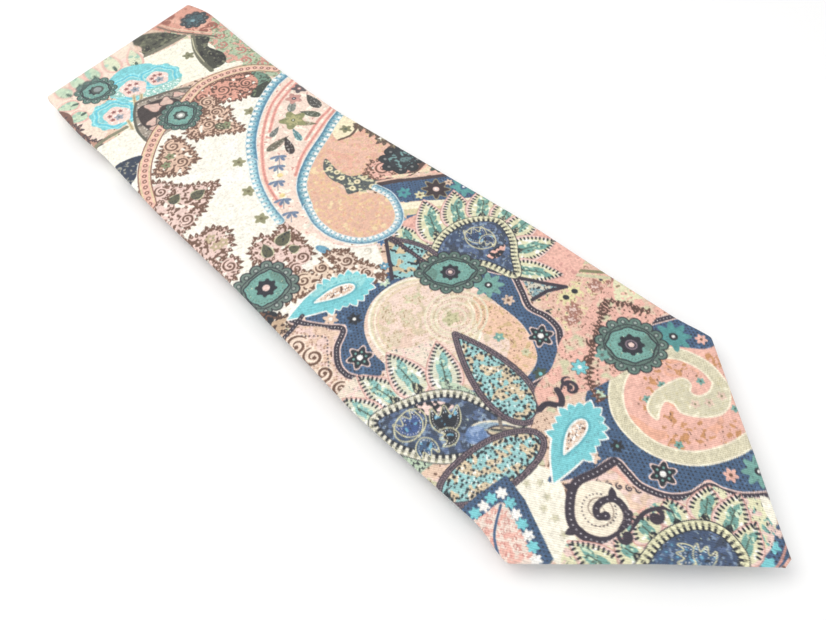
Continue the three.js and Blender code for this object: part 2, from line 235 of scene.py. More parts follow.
def pins():
    """Rows of small upright pins, staggered, as the navy grounds have."""
    across, up = 1.5, 1.15
    u = (U_LOW + CELL * np.arange(COLS)[None]) / across
    v = (V_LOW + CELL * np.arange(ROWS)[:, None]) / up
    inside = (np.abs((u + 0.5 * np.floor(v)) % 1 - 0.5) < 0.2) & (np.abs(v % 1 - 0.5) < 0.28)
    return np.where(inside, 2.0, -2.0) + 0.9 * FIELDS["grain"]


FIELDS["pin"] = pins()


# Paths are lists of points on the cloth. A mark is a field, a level and the ink that shows where the field is
# higher than that.
def smooth(points, joined=False):
    """A smooth curve through the points."""
    p = np.array(points, float)
    p = np.vstack([p[-1], p, p[0], p[1]]) if joined else np.vstack([2 * p[0] - p[1], p, 2 * p[-1] - p[-2]])
    t = np.linspace(0, 1, 14, endpoint=False)[:, None]
    parts = [
        0.5 * (2 * b + (c - a) * t + (2 * a - 5 * b + 4 * c - d) * t**2 + (3 * b - a - 3 * c + d) * t**3)
        for a, b, c, d in zip(p, p[1:], p[2:], p[3:])
    ]
    return np.vstack(parts + [p[-2][None]])


def closed(points):
    return smooth(points, True)


def spaced(path, gap):
    """Points every gap along the path, and the direction to their left."""
    path = np.asarray(path, float)
    run = np.concatenate([[0], np.cumsum(np.hypot(*np.diff(path, axis=0).T))])
    at = np.linspace(0, run[-1], max(2, int(round(run[-1] / gap)) + 1))
    points = np.stack([np.interp(at, run, path[:, k]) for k in (0, 1)], 1)
    along = np.gradient(points, axis=0)
    along /= np.maximum(np.hypot(*along.T), 1e-9)[:, None]
    return points, np.stack([-along[:, 1], along[:, 0]], 1)


def region(path):
    """The rows, columns and mask of the cells inside a closed path."""
    path, _ = spaced(np.vstack([path, path[:1]]), CELL)
    c = (path[:, 0] - U_LOW) / CELL
    r = (path[:, 1] - V_LOW) / CELL
    r0, r1 = np.clip([int(r.min()), int(r.max()) + 2], 0, ROWS)
    c0, c1 = np.clip([int(c.min()) - 1, int(c.max()) + 2], 0, COLS)
    low, high = np.ceil(np.minimum(r[:-1], r[1:])), np.ceil(np.maximum(r[:-1], r[1:]))
    count = np.zeros((r1 - r0, c1 - c0 + 1), np.int32)
    for extra in range(2):
        row = low + extra
        hit = (row < high) & (row >= r0) & (row < r1)
        share = (row - r[:-1])[hit] / (r[1:] - r[:-1])[hit]
        col = c[:-1][hit] + share * (c[1:] - c[:-1])[hit]
        col = np.clip(np.ceil(col).astype(int) - c0, 0, c1 - c0)
        np.add.at(count, (row[hit].astype(int) - r0, col), 1)
    mask = np.cumsum(count, axis=1)[:, :-1] % 2 == 1
    return slice(r0, r0 + mask.shape[0]), slice(c0, c0 + mask.shape[1]), mask


def fill(path, colour, *marks):
    rows, cols, mask = region(path)
    area = cloth[rows, cols]
    area[mask] = colour
    for field, level, ink in marks:
        area[mask & (FIELDS[field][rows, cols] > level)] = ink


def blob(points, colour, *marks):
    fill(closed(points), colour, *marks)


def stamp(points, radius, colour):
    """Round dots."""
    points = np.atleast_2d(np.asarray(points, float))
    radius = np.maximum(np.broadcast_to(radius, len(points)), 0.13) / CELL
    reach = int(radius.max()) + 1
    step = np.arange(-reach, reach + 1)
    dy, dx = (a.ravel() for a in np.meshgrid(step, step, indexing="ij"))
    col = ((points[:, 0] - U_LOW) / CELL)[:, None]
    row = ((points[:, 1] - V_LOW) / CELL)[:, None]
    c, r = np.rint(col).astype(int) + dx, np.rint(row).astype(int) + dy
    near = (c - col) ** 2 + (r - row) ** 2 <= (radius**2)[:, None]
    near &= (c >= 0) & (c < COLS) & (r >= 0) & (r < ROWS)
    cloth[r[near], c[near]] = colour


def pepper(path, gap, radius, colour):
    """Small separate dots, unevenly spaced, inside a closed path."""
    rows, cols, mask = region(path)
    random = np.random.default_rng(7)
    high, wide = mask.shape
    r, c = np.meshgrid(np.arange(0, high, gap / CELL), np.arange(0, wide, gap / CELL), indexing="ij")
    r = np.clip(r + random.uniform(-0.45, 0.45, r.shape) * gap / CELL, 0, high - 1).astype(int)
    c = np.clip(c + random.uniform(-0.45, 0.45, c.shape) * gap / CELL, 0, wide - 1).astype(int)
    r, c = r[mask[r, c]], c[mask[r, c]]
    points = np.stack([U_LOW + CELL * (cols.start + c), V_LOW + CELL * (rows.start + r)], 1)
    stamp(points, radius * random.uniform(0.6, 1.25, len(points)), colour)


def stroke(path, width, colour, taper=False):
    points, _ = spaced(path, max(0.1, width / 6))
    size = np.full(len(points), width / 2)
    if taper:
        size = size * np.clip(1.15 * np.sin(np.linspace(0.25, np.pi - 0.05, len(points))) ** 0.7, 0.2, 1)
    stamp(points, size, colour)


def line(points, width, colour, taper=False):
    stroke(smooth(points), width, colour, taper)


def dots(path, gap, radius, colour, aside=0.0):
    points, side = spaced(path, gap)
    stamp(points + aside * side, radius, colour)


def teeth(path, gap, start, end, width, colour, first=0, last=None):
    """Short bars across a path, from start to end to its left."""
    points, side = spaced(path, gap)
    points, side = points[first:last], side[first:last]
    for aside in np.arange(min(start, end), max(start, end) + 0.01, width / 3):
        stamp(points + aside * side, width / 2, colour)


def ring(centre, a, b=None, angle=0.0, lobes=0, depth=0.0, power=1.0):
    """An oval, with lobes if it has any depth. A power over 1 makes it a diamond, under 1 a cushion."""
    t = np.linspace(0, 2 * np.pi, 121)[:-1]
    swell = 1 + depth * np.cos(lobes * t)
    x = a * swell * np.sign(np.cos(t)) * np.abs(np.cos(t)) ** power
    y = (b or a) * swell * np.sign(np.sin(t)) * np.abs(np.sin(t)) ** power
    c, s = np.cos(np.radians(angle)), np.sin(np.radians(angle))
    return np.stack([centre[0] + c * x - s * y, centre[1] + s * x + c * y], 1)


def drop(base, tip, width, lean=0.0):
    """A leaf or drop from its pointed base to its round tip."""
    base, tip = np.array(base, float), np.array(tip, float)
    t = np.linspace(0, 2 * np.pi, 101)[:-1]
    up = (1 - np.cos(t)) / 2
    out = width / 1.54 * np.sin(t) * np.abs(np.cos(t / 2)) + lean * up**2.5
    along = tip - base
    side = np.array([along[1], -along[0]]) / np.hypot(*along)
    return base + up[:, None] * along + out[:, None] * side


def around(path):
    """The path closed, and turned so that its right-hand side is outside."""
    x, y = np.transpose(path)
    loop = path if x @ np.roll(y, -1) > y @ np.roll(x, -1) else path[::-1]
    return np.vstack([loop, loop[:1]])


def spikes(path, gap, height, width, colour):
    """Pointed teeth on the right-hand side of a path."""
    points, side = spaced(path, gap)
    for n, (root, left) in enumerate(zip(points, side)):
        reach = height * (0.8 + 0.3 * np.cos(1.9 * n))
        fill(drop(root + 0.4 * width * left, root - reach * left, width), colour)


def mix(a, b, share):
    return tuple(x + share * (y - x) for x, y in zip(a, b))


def piping(path, width=2.0, rim=PINK):
    stroke(path, width + 1.0, rim)
    stroke(path, width, PLUM)
    dots(path, 1.3, 0.21, WHITE)


def leaf(path):
    closed = around(path)
    fill(path, (150, 204, 204), ("blot", 0.2, (218, 198, 164)), ("cloud", 1.2, (196, 210, 190)),
         ("grain", 1.6, WHITE))
    pepper(path, 1.5, 0.42, (38, 44, 52))
    points, side = spaced(closed, 1.9)
    wander = 0.4 * np.sin(2.1 * np.arange(len(points)))
    stamp(points + (2.2 + wander)[:, None] * side, 0.5 + 0.12 * np.cos(np.arange(len(points))), NIGHT)
    stroke(closed, 2.3, PLUM)
    stroke(closed, 1.3, (150, 128, 134))
    stroke(closed, 0.8, PLUM)
    dots(closed, 0.9, 0.16, (190, 160, 160))


def flame(base, tip, width, pale=LEMON, core=TEAL):
    """A feathered petal with dark teeth round it."""
    outer = drop(base, tip, width * 1.18)
    fill(outer, PINK)
    stroke(around(outer), 0.35, ROSE)
    inner = drop(mix(base, tip, 0.03), mix(base, tip, 0.95), width * 0.92)
    fill(inner, pale, ("grain", 0.9, KHAKI), ("speck", 1.2, WHITE))
    along = np.array(tip, float) - np.array(base, float)
    for share, side in ((0.62, 1), (0.46, -1), (0.3, 1), (0.2, -1)):
        root, end = mix(base, tip, share - 0.14), np.array(mix(base, tip, share + 0.2))
        end = end + side * 0.16 * width / np.hypot(*along) * np.array([along[1], -along[0]])
        fill(drop(root, end, width * 0.3), core, ("grain", 1.0, MOSS), ("speck", 1.0, MINT))
    fill(drop(mix(base, tip, 0.02), mix(base, tip, 0.3), width * 0.3), NIGHT, ("grain", 0.5, KHAKI))
    stroke(np.array([mix(base, tip, 0.2), mix(base, tip, 0.6)]), 0.4, MOSS)
    teeth(inner, 1.55, -0.3, 0.75, 0.72, NIGHT, 4, -4)


def flower(centre, radius, petal=TEAL, core=NIGHT, lobes=6, edge=None, turn=0.0):
    if edge:
        fill(ring(centre, radius * 1.16, None, turn, lobes, 0.22), edge)
    fill(ring(centre, radius, None, turn, lobes, 0.24), petal, ("grain", 1.3, mix(petal, NIGHT, 0.4)))
    stamp(centre, radius * 0.3, core)
    if radius > 3:
        stamp(centre, radius * 0.12, WHITE)


def flowers(*rows):
    for centre, radius, petal, core in rows:
        flower(centre, radius, petal, core, 8 if radius > 4 else 6)


def starred(centre, radius, reach, size):
    """A dark flower with a teal dot on each petal."""
    flower(centre, radius, NIGHT, WHITE, 6, PINK, 30)
    for turn in range(6):
        a = np.radians(60 * turn + 30)
        stamp((centre[0] + reach * np.cos(a), centre[1] + reach * np.sin(a)), size, TEAL)


def rosette(centre, a, b, angle, power, scallops, border):
    """A scalloped teal medallion with a dark eye."""
    edge = ring(centre, a * 0.9, b * 0.9, angle, power=power)
    loop = around(edge)
    gap = 2 * np.pi * np.sqrt(a * b) / scallops
    dots(loop, gap, gap * 0.54, NIGHT)
    dots(loop, gap, gap * 0.44, border)
    fill(ring(centre, a * 0.88, b * 0.88, angle, power=power), border,
         ("grain", 1.2, mix(border, NIGHT, 0.6)))
    dots(loop, gap, gap * 0.22, mix(border, NIGHT, 0.7))
    dots(loop, gap, gap * 0.13, mix(border, WHITE, 0.4))
    inner = ring(centre, a * 0.8, b * 0.78, angle, power=power)
    stroke(around(inner), 0.4, NIGHT)
    eye = ring(centre, a * 0.72, b * 0.66, angle, 8, 0.04, power)
    fill(eye, TEAL, ("cloud", 0.8, mix(TEAL, MOSS, 0.3)), ("grain", 1.7, MOSS), ("grain", 2.2, MINT))
    stroke(around(eye), 0.55, NIGHT)
    inner = ring(centre, a * 0.6, b * 0.54, angle, 8, 0.05, power)
    dots(around(inner), 1.3, 0.2, MOSS)
    small = min(a, b) * 0.34
    stamp(centre, small, NIGHT)
    dots(ring(centre, small * 0.98), small * 0.8, small * 0.24, NIGHT)
    stamp(centre, small * 0.56, (130, 112, 124))
    stamp(centre, small * 0.42, PLUM)
    stamp(centre, small * 0.27, PINK)


def bud(path, rim, gap, size):
    """A dark field with a pale toothed rim."""
    loop = around(path)
    fill(path, (56, 68, 90), ("blot", 0.3, (82, 102, 140)), ("cloud", 1.0, (60, 78, 110)),
         ("speck", 1.0, (122, 144, 172)), ("grain", 1.2, NIGHT), ("grain", 2.1, (170, 190, 186)))
    stroke(loop, 3.4, NIGHT)
    stroke(loop, 2.8, rim)
    teeth(loop, gap, -0.2, 1.3, size * 0.8, NIGHT)
    dots(loop, gap, size * 0.34, mix(rim, OLIVE, 0.6), -0.8)
    stroke(loop, 0.3, mix(rim, OLIVE, 0.4))


def tulip(centre, size, angle, body=NAVY):
    shape = np.array([(0, -1), (0.75, -0.55), (1, 0.15), (0.85, 0.95), (0.4, 0.35), (0, 1.05), (-0.4, 0.35),
                      (-0.85, 0.95), (-1, 0.15), (-0.75, -0.55)])
    c, s = np.cos(np.radians(angle)), np.sin(np.radians(angle))
    path = smooth(np.array(centre) + size * (shape @ np.array([[c, s], [-s, c]])), True)
    fill(path, body, ("grain", 1.0, NIGHT), ("speck", 1.2, BEAD))
    stroke(around(path), 0.45, KHAKI)
    dots(around(path), 1.1, 0.2, WHITE, 0.9)


def lace(path, *curls, tint=PINK, ink=RUST, ground=PAPER):
    """A clump of brown lace with a spiky edge and scrolls, each a centre, a radius and a turn."""
    loop = around(path)
    spikes(loop, 2.5, 2.4, 1.9, ink)
    fill(path, tint, ("speck", 0.2, ink), ("blot", 1.3, ground), ("grain", 1.8, tint))
    points, side = spaced(loop, 1.9)
    swing = (0.5 * np.sin(2.4 * np.arange(len(points))))[:, None]
    stamp(points + swing * side, 0.75, ink)
    stamp(points + (swing - 0.3) * side, 0.3, tint)
    for centre, radius, turn in curls:
        curl(centre, radius, turn, 1.5, ink, 0.9, tint)


def fringe(path, ink, height, tint=SALMON):
    spikes(path, 1.9, height, 1.5, ink)
    spikes(path[::-1], 2.3, 0.7 * height, 1.3, ink)
    stroke(path, 0.9, ink)
    dots(path, 1.5, 0.28, tint)
    dots(path, 2.1, 0.4, ink, -1.2 * height)


def curl(centre, radius, turn, turns, ink, width, rim=None):
    """A scroll that winds inwards, the other way round if turns is negative."""
    t = np.linspace(0, 1, 60)
    a = np.radians(turn) + 2 * np.pi * turns * t
    r = radius * (1 - 0.85 * t)
    path = np.stack([centre[0] + r * np.cos(a), centre[1] + r * np.sin(a)], 1)
    if rim:
        stroke(path, width + 1.1, rim)
    stroke(path, width, ink, True)
    stamp(path[-1], width * 0.75, ink)


def plume(base, tip, width, lean):
    """A curved aqua drop with a spiky crown round its wide end."""
    path = drop(base, tip, width, lean)
    crown = np.vstack([path[74:], path[:27]])
    spikes(crown, 3.1, 3.0, 3.7, WHITE)
    stroke(around(path), 1.3, WHITE)
    spikes(crown, 3.1, 2.3, 2.9, AQUA)
    fill(path, AQUA, ("cloud", 0.4, (150, 220, 222)), ("speck", 1.2, (100, 182, 190)),
         ("grain", 1.9, (84, 140, 150)))
    heart = drop(mix(base, tip, 0.18), mix(base, tip, 0.66), width * 0.36, lean * 0.3)
    stroke(around(heart), 2.4, (92, 176, 188))
    fill(heart, PEACH, ("grain", 0.8, WHITE), ("speck", 1.5, RUST))
    stroke(around(heart), 0.7, WHITE)
    points, side = spaced(np.array([mix(base, tip, 0.22), mix(base, tip, 0.52)]), 0.8)
    stamp(points + 0.35 * np.cos(2.2 * np.arange(len(points)))[:, None] * side, 0.22, PLUM)


def beads(path, blue, side, width):
    """A row of round beads, lit on one side."""
    gap = 0.82 * width
    stroke(path, width + 0.8, (226, 234, 234))
    stroke(path, width, mix(blue, NAVY, 0.45))
    dots(path, gap, 0.46 * width, mix(blue, WHITE, 0.1), side * 0.12 * width)
    dots(path, gap, 0.36 * width, mix(blue, WHITE, 0.5), side * 0.2 * width)
    dots(path, gap, 0.22 * width, WHITE, side * 0.34 * width)
    dots(path, gap, 0.09 * width, mix(blue, NAVY, 0.8), side * 0.02 * width)


def paint_ground():
    """The ground between the motifs: peach with uneven blotches."""
    cloth[:] = PEACH
    for field, level, ink in (("blot", 0.7, PINK), ("blot", 1.4, KHAKI), ("speck", 1.5, RUST),
            ("cloud", 1.2, SALMON)):
        cloth[FIELDS[field] > level] = ink


def paint_tip():
    """The first 90 mm: the navy cartouche with the scrolled disc, the white spiral, the first dark bud."""
    fill([(-60, -8), (60, -8), (60, 12), (10, 5), (-10, 4), (-60, 40)], SALMON, ("speck", 0.9, RUST))
    blob([(-12, 3), (-4, 8), (6, 9), (14, 6), (9, 2), (0, 1)], NAVY, ("pin", 1, NIGHT))
    for at, size, ink in (((-3, 4), 2, AQUA), ((2.6, 5.6), 1.8, AQUA), ((7.5, 6.5), 1.3, PINK),
            ((-6.5, 6), 1.2, PINK)):
        flower(at, size, ink, ink, 5)
    line([(-6, 2.6), (0, 2), (9, 4)], 0.8, ROSE)
    blob([(-30, 76), (-25, 70), (-26, 62), (-34, 53), (-40, 42), (-46, 49), (-43, 58), (-38, 76)], CREAM)
    for at in ((-35.5, 62), (-32, 63.5), (-35.5, 57.5), (-30, 68), (-37.6, 52.4), (-33, 71)):
        flower(at, 1.2, (222, 216, 190), KHAKI, 5)
    # navy cartouche
    blob([(-28, 66.5), (-18, 66.8), (-6, 63), (1, 68), (4, 76), (20, 80), (45, 80), (59, 73), (59, 54),
        (48, 48), (40, 32), (28, 22), (17, 13.5), (12, 20), (8.4, 26), (7, 31), (0, 32.5), (-5, 37),
        (-8, 43), (-8, 50), (-6.5, 55.5), (-14, 58), (-21, 61)], NAVY, ("pin", 1.2, NIGHT),
        ("speck", 1.9, (80, 112, 148)))
    # salmon disc and its khaki scroll
    blob([(24, 75), (10, 71), (2.6, 60), (3, 47), (9, 37), (19, 30), (30, 27), (44, 34), (58, 46), (58, 54),
        (50, 58), (45, 64), (38, 72)], SALMON, ("cloud", 0.8, (238, 176, 150)))
    for at, wide, high in (((22, 63), 10, 2.4), ((12, 45), 5, 3.4), ((19, 42), 4, 5), ((26, 34), 6, 3),
            ((36, 59), 3, 6), ((48, 52), 5, 4), ((32, 66), 5, 2), ((16, 51), 4, 2)):
        fill(ring(at, wide, high, 20, 5, 0.2), SALMON, ("speck", 0.55, (196, 138, 92)),
            ("grain", 1.7, RUST))
    for at in ((18, 61), (26, 60.5), (11, 44), (37, 52), (36, 38)):
        flower(at, 1.3, TEAL, MOSS, 5)
    scroll = smooth([(32, 28), (22, 30.6), (12, 36.4), (6, 44.5), (4.2, 54), (7, 64), (14.5, 71),
        (24, 73.6), (34, 70.6), (41, 64), (43.4, 54.5), (41, 46)])
    comma = closed([(21.4, 60.3), (27.2, 59.2), (33.1, 57), (33.2, 54), (30.3, 52.3), (31.1, 49),
        (35.9, 47.4), (42.4, 49), (42.4, 44.8), (36.2, 40.6), (30.6, 40.6), (25.6, 44), (22, 49.6),
        (23, 53.6), (21.6, 56.6), (17.4, 56), (14.1, 54.6), (15.6, 58.8)])
    stroke(scroll, 5.4, (250, 240, 214))
    stroke(around(comma), 1.4, (250, 240, 214))
    stroke(scroll, 4.2, (222, 215, 186))
    fill(comma, (222, 215, 186), ("grain", 0.8, (196, 188, 152)), ("speck", 1.8, (238, 232, 206)))
    for at in ((31.6, 45.4), (27.6, 48.4), (37, 43.8)):
        flower(at, 1.5, (236, 206, 186), OLIVE, 5)
    points, side = spaced(scroll, 0.62)
    for aside in (-1.5, -0.9, -0.3, 0.3, 0.9, 1.5):
        shake = 0.3 * np.cos(3.3 * np.arange(len(points)) + 5 * aside)
        stamp(points + (aside + shake)[:, None] * side, 0.14, (170, 160, 122))
    flowers(((-11.5, 61.3), 2.1, PEACH, WHITE), ((-3, 58), 1.9, NIGHT, TEAL),
        ((8.5, 73.4), 1.7, MINT, OLIVE), ((13.6, 26.6), 2.1, SALMON, RUST), ((21, 21), 4.6, TEAL, NIGHT),
        ((46.5, 69), 5.4, (76, 148, 148), NIGHT), ((52.5, 61.3), 1.9, SALMON, RUST))
    starred((-1, 42), 3.5, 2.2, 0.42)
    # rosy ground right of the tip and the piping
    piping(smooth([(45, 79), (50, 76.4), (59, 71.5)]), 2.0)
    # white spiral
    blob([(-25, 60), (-16, 58), (-11, 54), (-11.4, 46), (-8, 37), (-14, 40), (-22, 42), (-30, 42),
        (-35, 50), (-32, 56)], PEACH, ("blot", 0.3, PINK))
    for n in range(6):
        curl((-17 + 1.6 * n, 54.6 - 2.6 * n), 1.25, 60, 1.1, PLUM, 0.5)
    stamp((-24.4, 49.4), 9.4, (246, 234, 212))
    curl((-24.4, 49.6), 5.4, 200, 1.6, (150, 132, 120), 0.4)
    dots(ring((-24.4, 49.4), 5.2)[10:110], 1.2, 0.26, PLUM)
    swirl = smooth([(-26, 40.4), (-20.9, 41.7), (-18.4, 44.8), (-18.4, 48.2), (-21, 50.2), (-24.4, 50.4),
        (-26.2, 48.4), (-24.6, 46.8)])
    stroke(swirl, 2.3, PLUM)
    stamp(swirl[-1], 1.5, PLUM)
    collar = [(-19.4, 42.2), (-21.6, 40.4), (-25.6, 40), (-30.8, 42), (-33.6, 46.6), (-33.4, 52.4),
        (-29, 57), (-22.4, 59.8), (-15, 57.4), (-8, 55.6)]
    piping(smooth(collar + [(-8.4, 50.4), (-9.2, 44.6), (-6.4, 36.8), (-1, 31.8), (5.6, 29.6), (7.2, 25.4),
        (10.4, 20), (17, 14)]), 2.1)
    stroke(smooth(collar), 3.0, PLUM)
    dots(smooth(collar), 1.7, 0.26, (206, 200, 206))
    for root, end in (((-24, 59), (-25.6, 62.4)), ((-34, 50.8), (-37.4, 52.4)), ((-29.6, 41.4), (-31, 38)),
            ((-18.6, 48.4), (-15.6, 51.2))):
        fill(drop(root, end, 2.6), PLUM)
    dots(swirl, 2.6, 0.22, (206, 200, 206))
    # pale ground and scrolls under the spiral
    blob([(-38, 50), (-33, 43), (-24, 40), (-12, 39), (-4, 33), (6, 29), (9, 21), (15, 14), (8, 8), (-6, 8),
        (-40, 34), (-46, 46)], LEMON, ("blot", 0.2, PINK), ("speck", 1.0, TEAL), ("grain", 1.7, NIGHT))
    for base, tip, width in (((-36, 33), (-38.6, 50.6), 9), ((-28, 31.6), (-29, 40.6), 9),
            ((-20, 32), (-19, 40.6), 10), ((-12, 29), (-7, 37), 9), ((-6, 24), (6, 29.6), 10),
            ((-4.6, 17), (10.6, 21.6), 10), ((-8.6, 10), (6, 13.4), 9)):
        flame(base, tip, width)
    line([(-24, 38.6), (-16, 39), (-10.8, 36), (-9.4, 32.6)], 1.4, PLUM, True)
    curl((-25.6, 38.6), 2.4, 90, 1.3, PLUM, 1.3)
    curl((-14.4, 35.8), 2.7, 60, -1.3, PLUM, 1.4)
    bud(closed([(-40, 31), (-30, 30.6), (-20, 31), (-11, 28), (-5, 22), (-4.4, 15), (-9, 8.6), (-24, 10),
        (-40, 22)]), LEMON, 2.0, 1.1)
    for n in range(9):
        flower((-27 + 2.9 * (n % 4) + n // 4, 27.5 - 3.3 * (n // 4)), 1.2, NAVY, BEAD, 5)
    tulip((-17.4, 22.4), 3.2, 35)
    tulip((-14.6, 18.6), 3.4, -70)
    blob([(15, 12), (9, 8.4), (10, 12), (14, 16.5)], CREAM)


def paint_lower():
    """From 75 to 115 mm: the two speckled leaves, the plume and the teal rosette on the rosy ground."""
    blob([(-6, 90), (6, 92), (18, 97), (30, 97), (45, 100), (60, 96), (60, 74), (48, 78), (30, 72),
        (10, 76), (2, 80), (-10, 80)], SALMON, ("blot", 0.5, PEACH), ("grain", 1.5, RUST),
        ("blot", 1.6, KHAKI))
    blob([(45, 92), (52, 88), (60, 80), (60, 96), (54, 100)], LEMON, ("speck", 0.4, SALMON),
        ("speck", 1.3, OLIVE))
    fringe(smooth([(49.8, 81.8), (47.6, 88.6), (44.4, 94.6), (40.4, 96), (35.5, 92.9), (28.4, 89.9),
        (20.8, 86.2), (14, 82.4), (9, 77.6), (6.6, 72.3)])[::-1], (84, 58, 50), 2.6)
    for at, turn in (((17, 84.4), 20), ((24, 88.4), 90), ((39, 94), 160), ((47, 85), 240)):
        curl(at, 1.9, turn, 1.2, (84, 58, 50), 0.8)
    rosette((32.8, 77.6), 12.2, 11.6, -45, 1.12, 17, (92, 120, 110))
    flower((12.6, 85), 2.5, AQUA, WHITE, 7, SLATE)
    flower((22, 82.4), 2.2, TEAL, SLATE, 5)
    line([(-10, 84.6), (-6.6, 84), (-4, 80.6), (-1.4, 82), (0, 85)], 2.2, PLUM)
    curl((3.6, 82), 3.2, 140, -1.2, PLUM, 1.4)
    curl((4.6, 84.4), 2.2, 20, 0.9, PLUM, 1.0)
    blob([(-24, 84), (-18, 82), (-12, 84), (-8, 80), (-16, 74), (-20, 76)], PEACH, ("grain", 1.2, RUST))
    plume((2.6, 71.8), (-27.5, 68.6), 14, -3.8)
    line([(-22, 92), (-24, 88), (-19, 82), (-17, 78)], 1.2, (120, 110, 104))
    leaf(ring((-36.4, 82.4), 19.6, 8.2, -14))


def paint_corner():
    """The left corner: a navy arch edged with small flowers round a rosy scribbled field."""
    fill([(-60, 80.8), (-46, 79.6), (-35.4, 77.4), (-37.4, 68), (-41, 60), (-45.6, 50), (-60, 50)], NAVY,
        ("pin", 1.2, NIGHT))
    blob([(-60, 75), (-50, 74), (-43, 72.4), (-44.4, 66), (-47, 59.6), (-51, 52), (-60, 48)],
        (247, 228, 214), ("speck", 0.55, (232, 178, 164)), ("grain", 1.2, (186, 120, 112)))
    line([(-43.9, 72.2), (-49.1, 69.6), (-53.1, 66.8), (-56.4, 62.1)], 0.8, NAVY)
    for at in ((-48.6, 65.4), (-50, 71.6), (-50.6, 60.4), (-53.6, 70.4), (-46.4, 68)):
        curl(at, 1.4, 40 * at[1], 1.1, ROSE, 0.4)
    for n, at in enumerate(((-51.4, 76.2), (-47.8, 75.7), (-44.4, 75.8), (-40.8, 74.6), (-41.4, 70.6),
            (-43, 67), (-43.9, 63.6), (-45.4, 60), (-47, 56.8), (-49.4, 53.6))):
        ink = (AQUA, WHITE)[n % 2]
        flower(at, 1.7, ink, ink, 6)


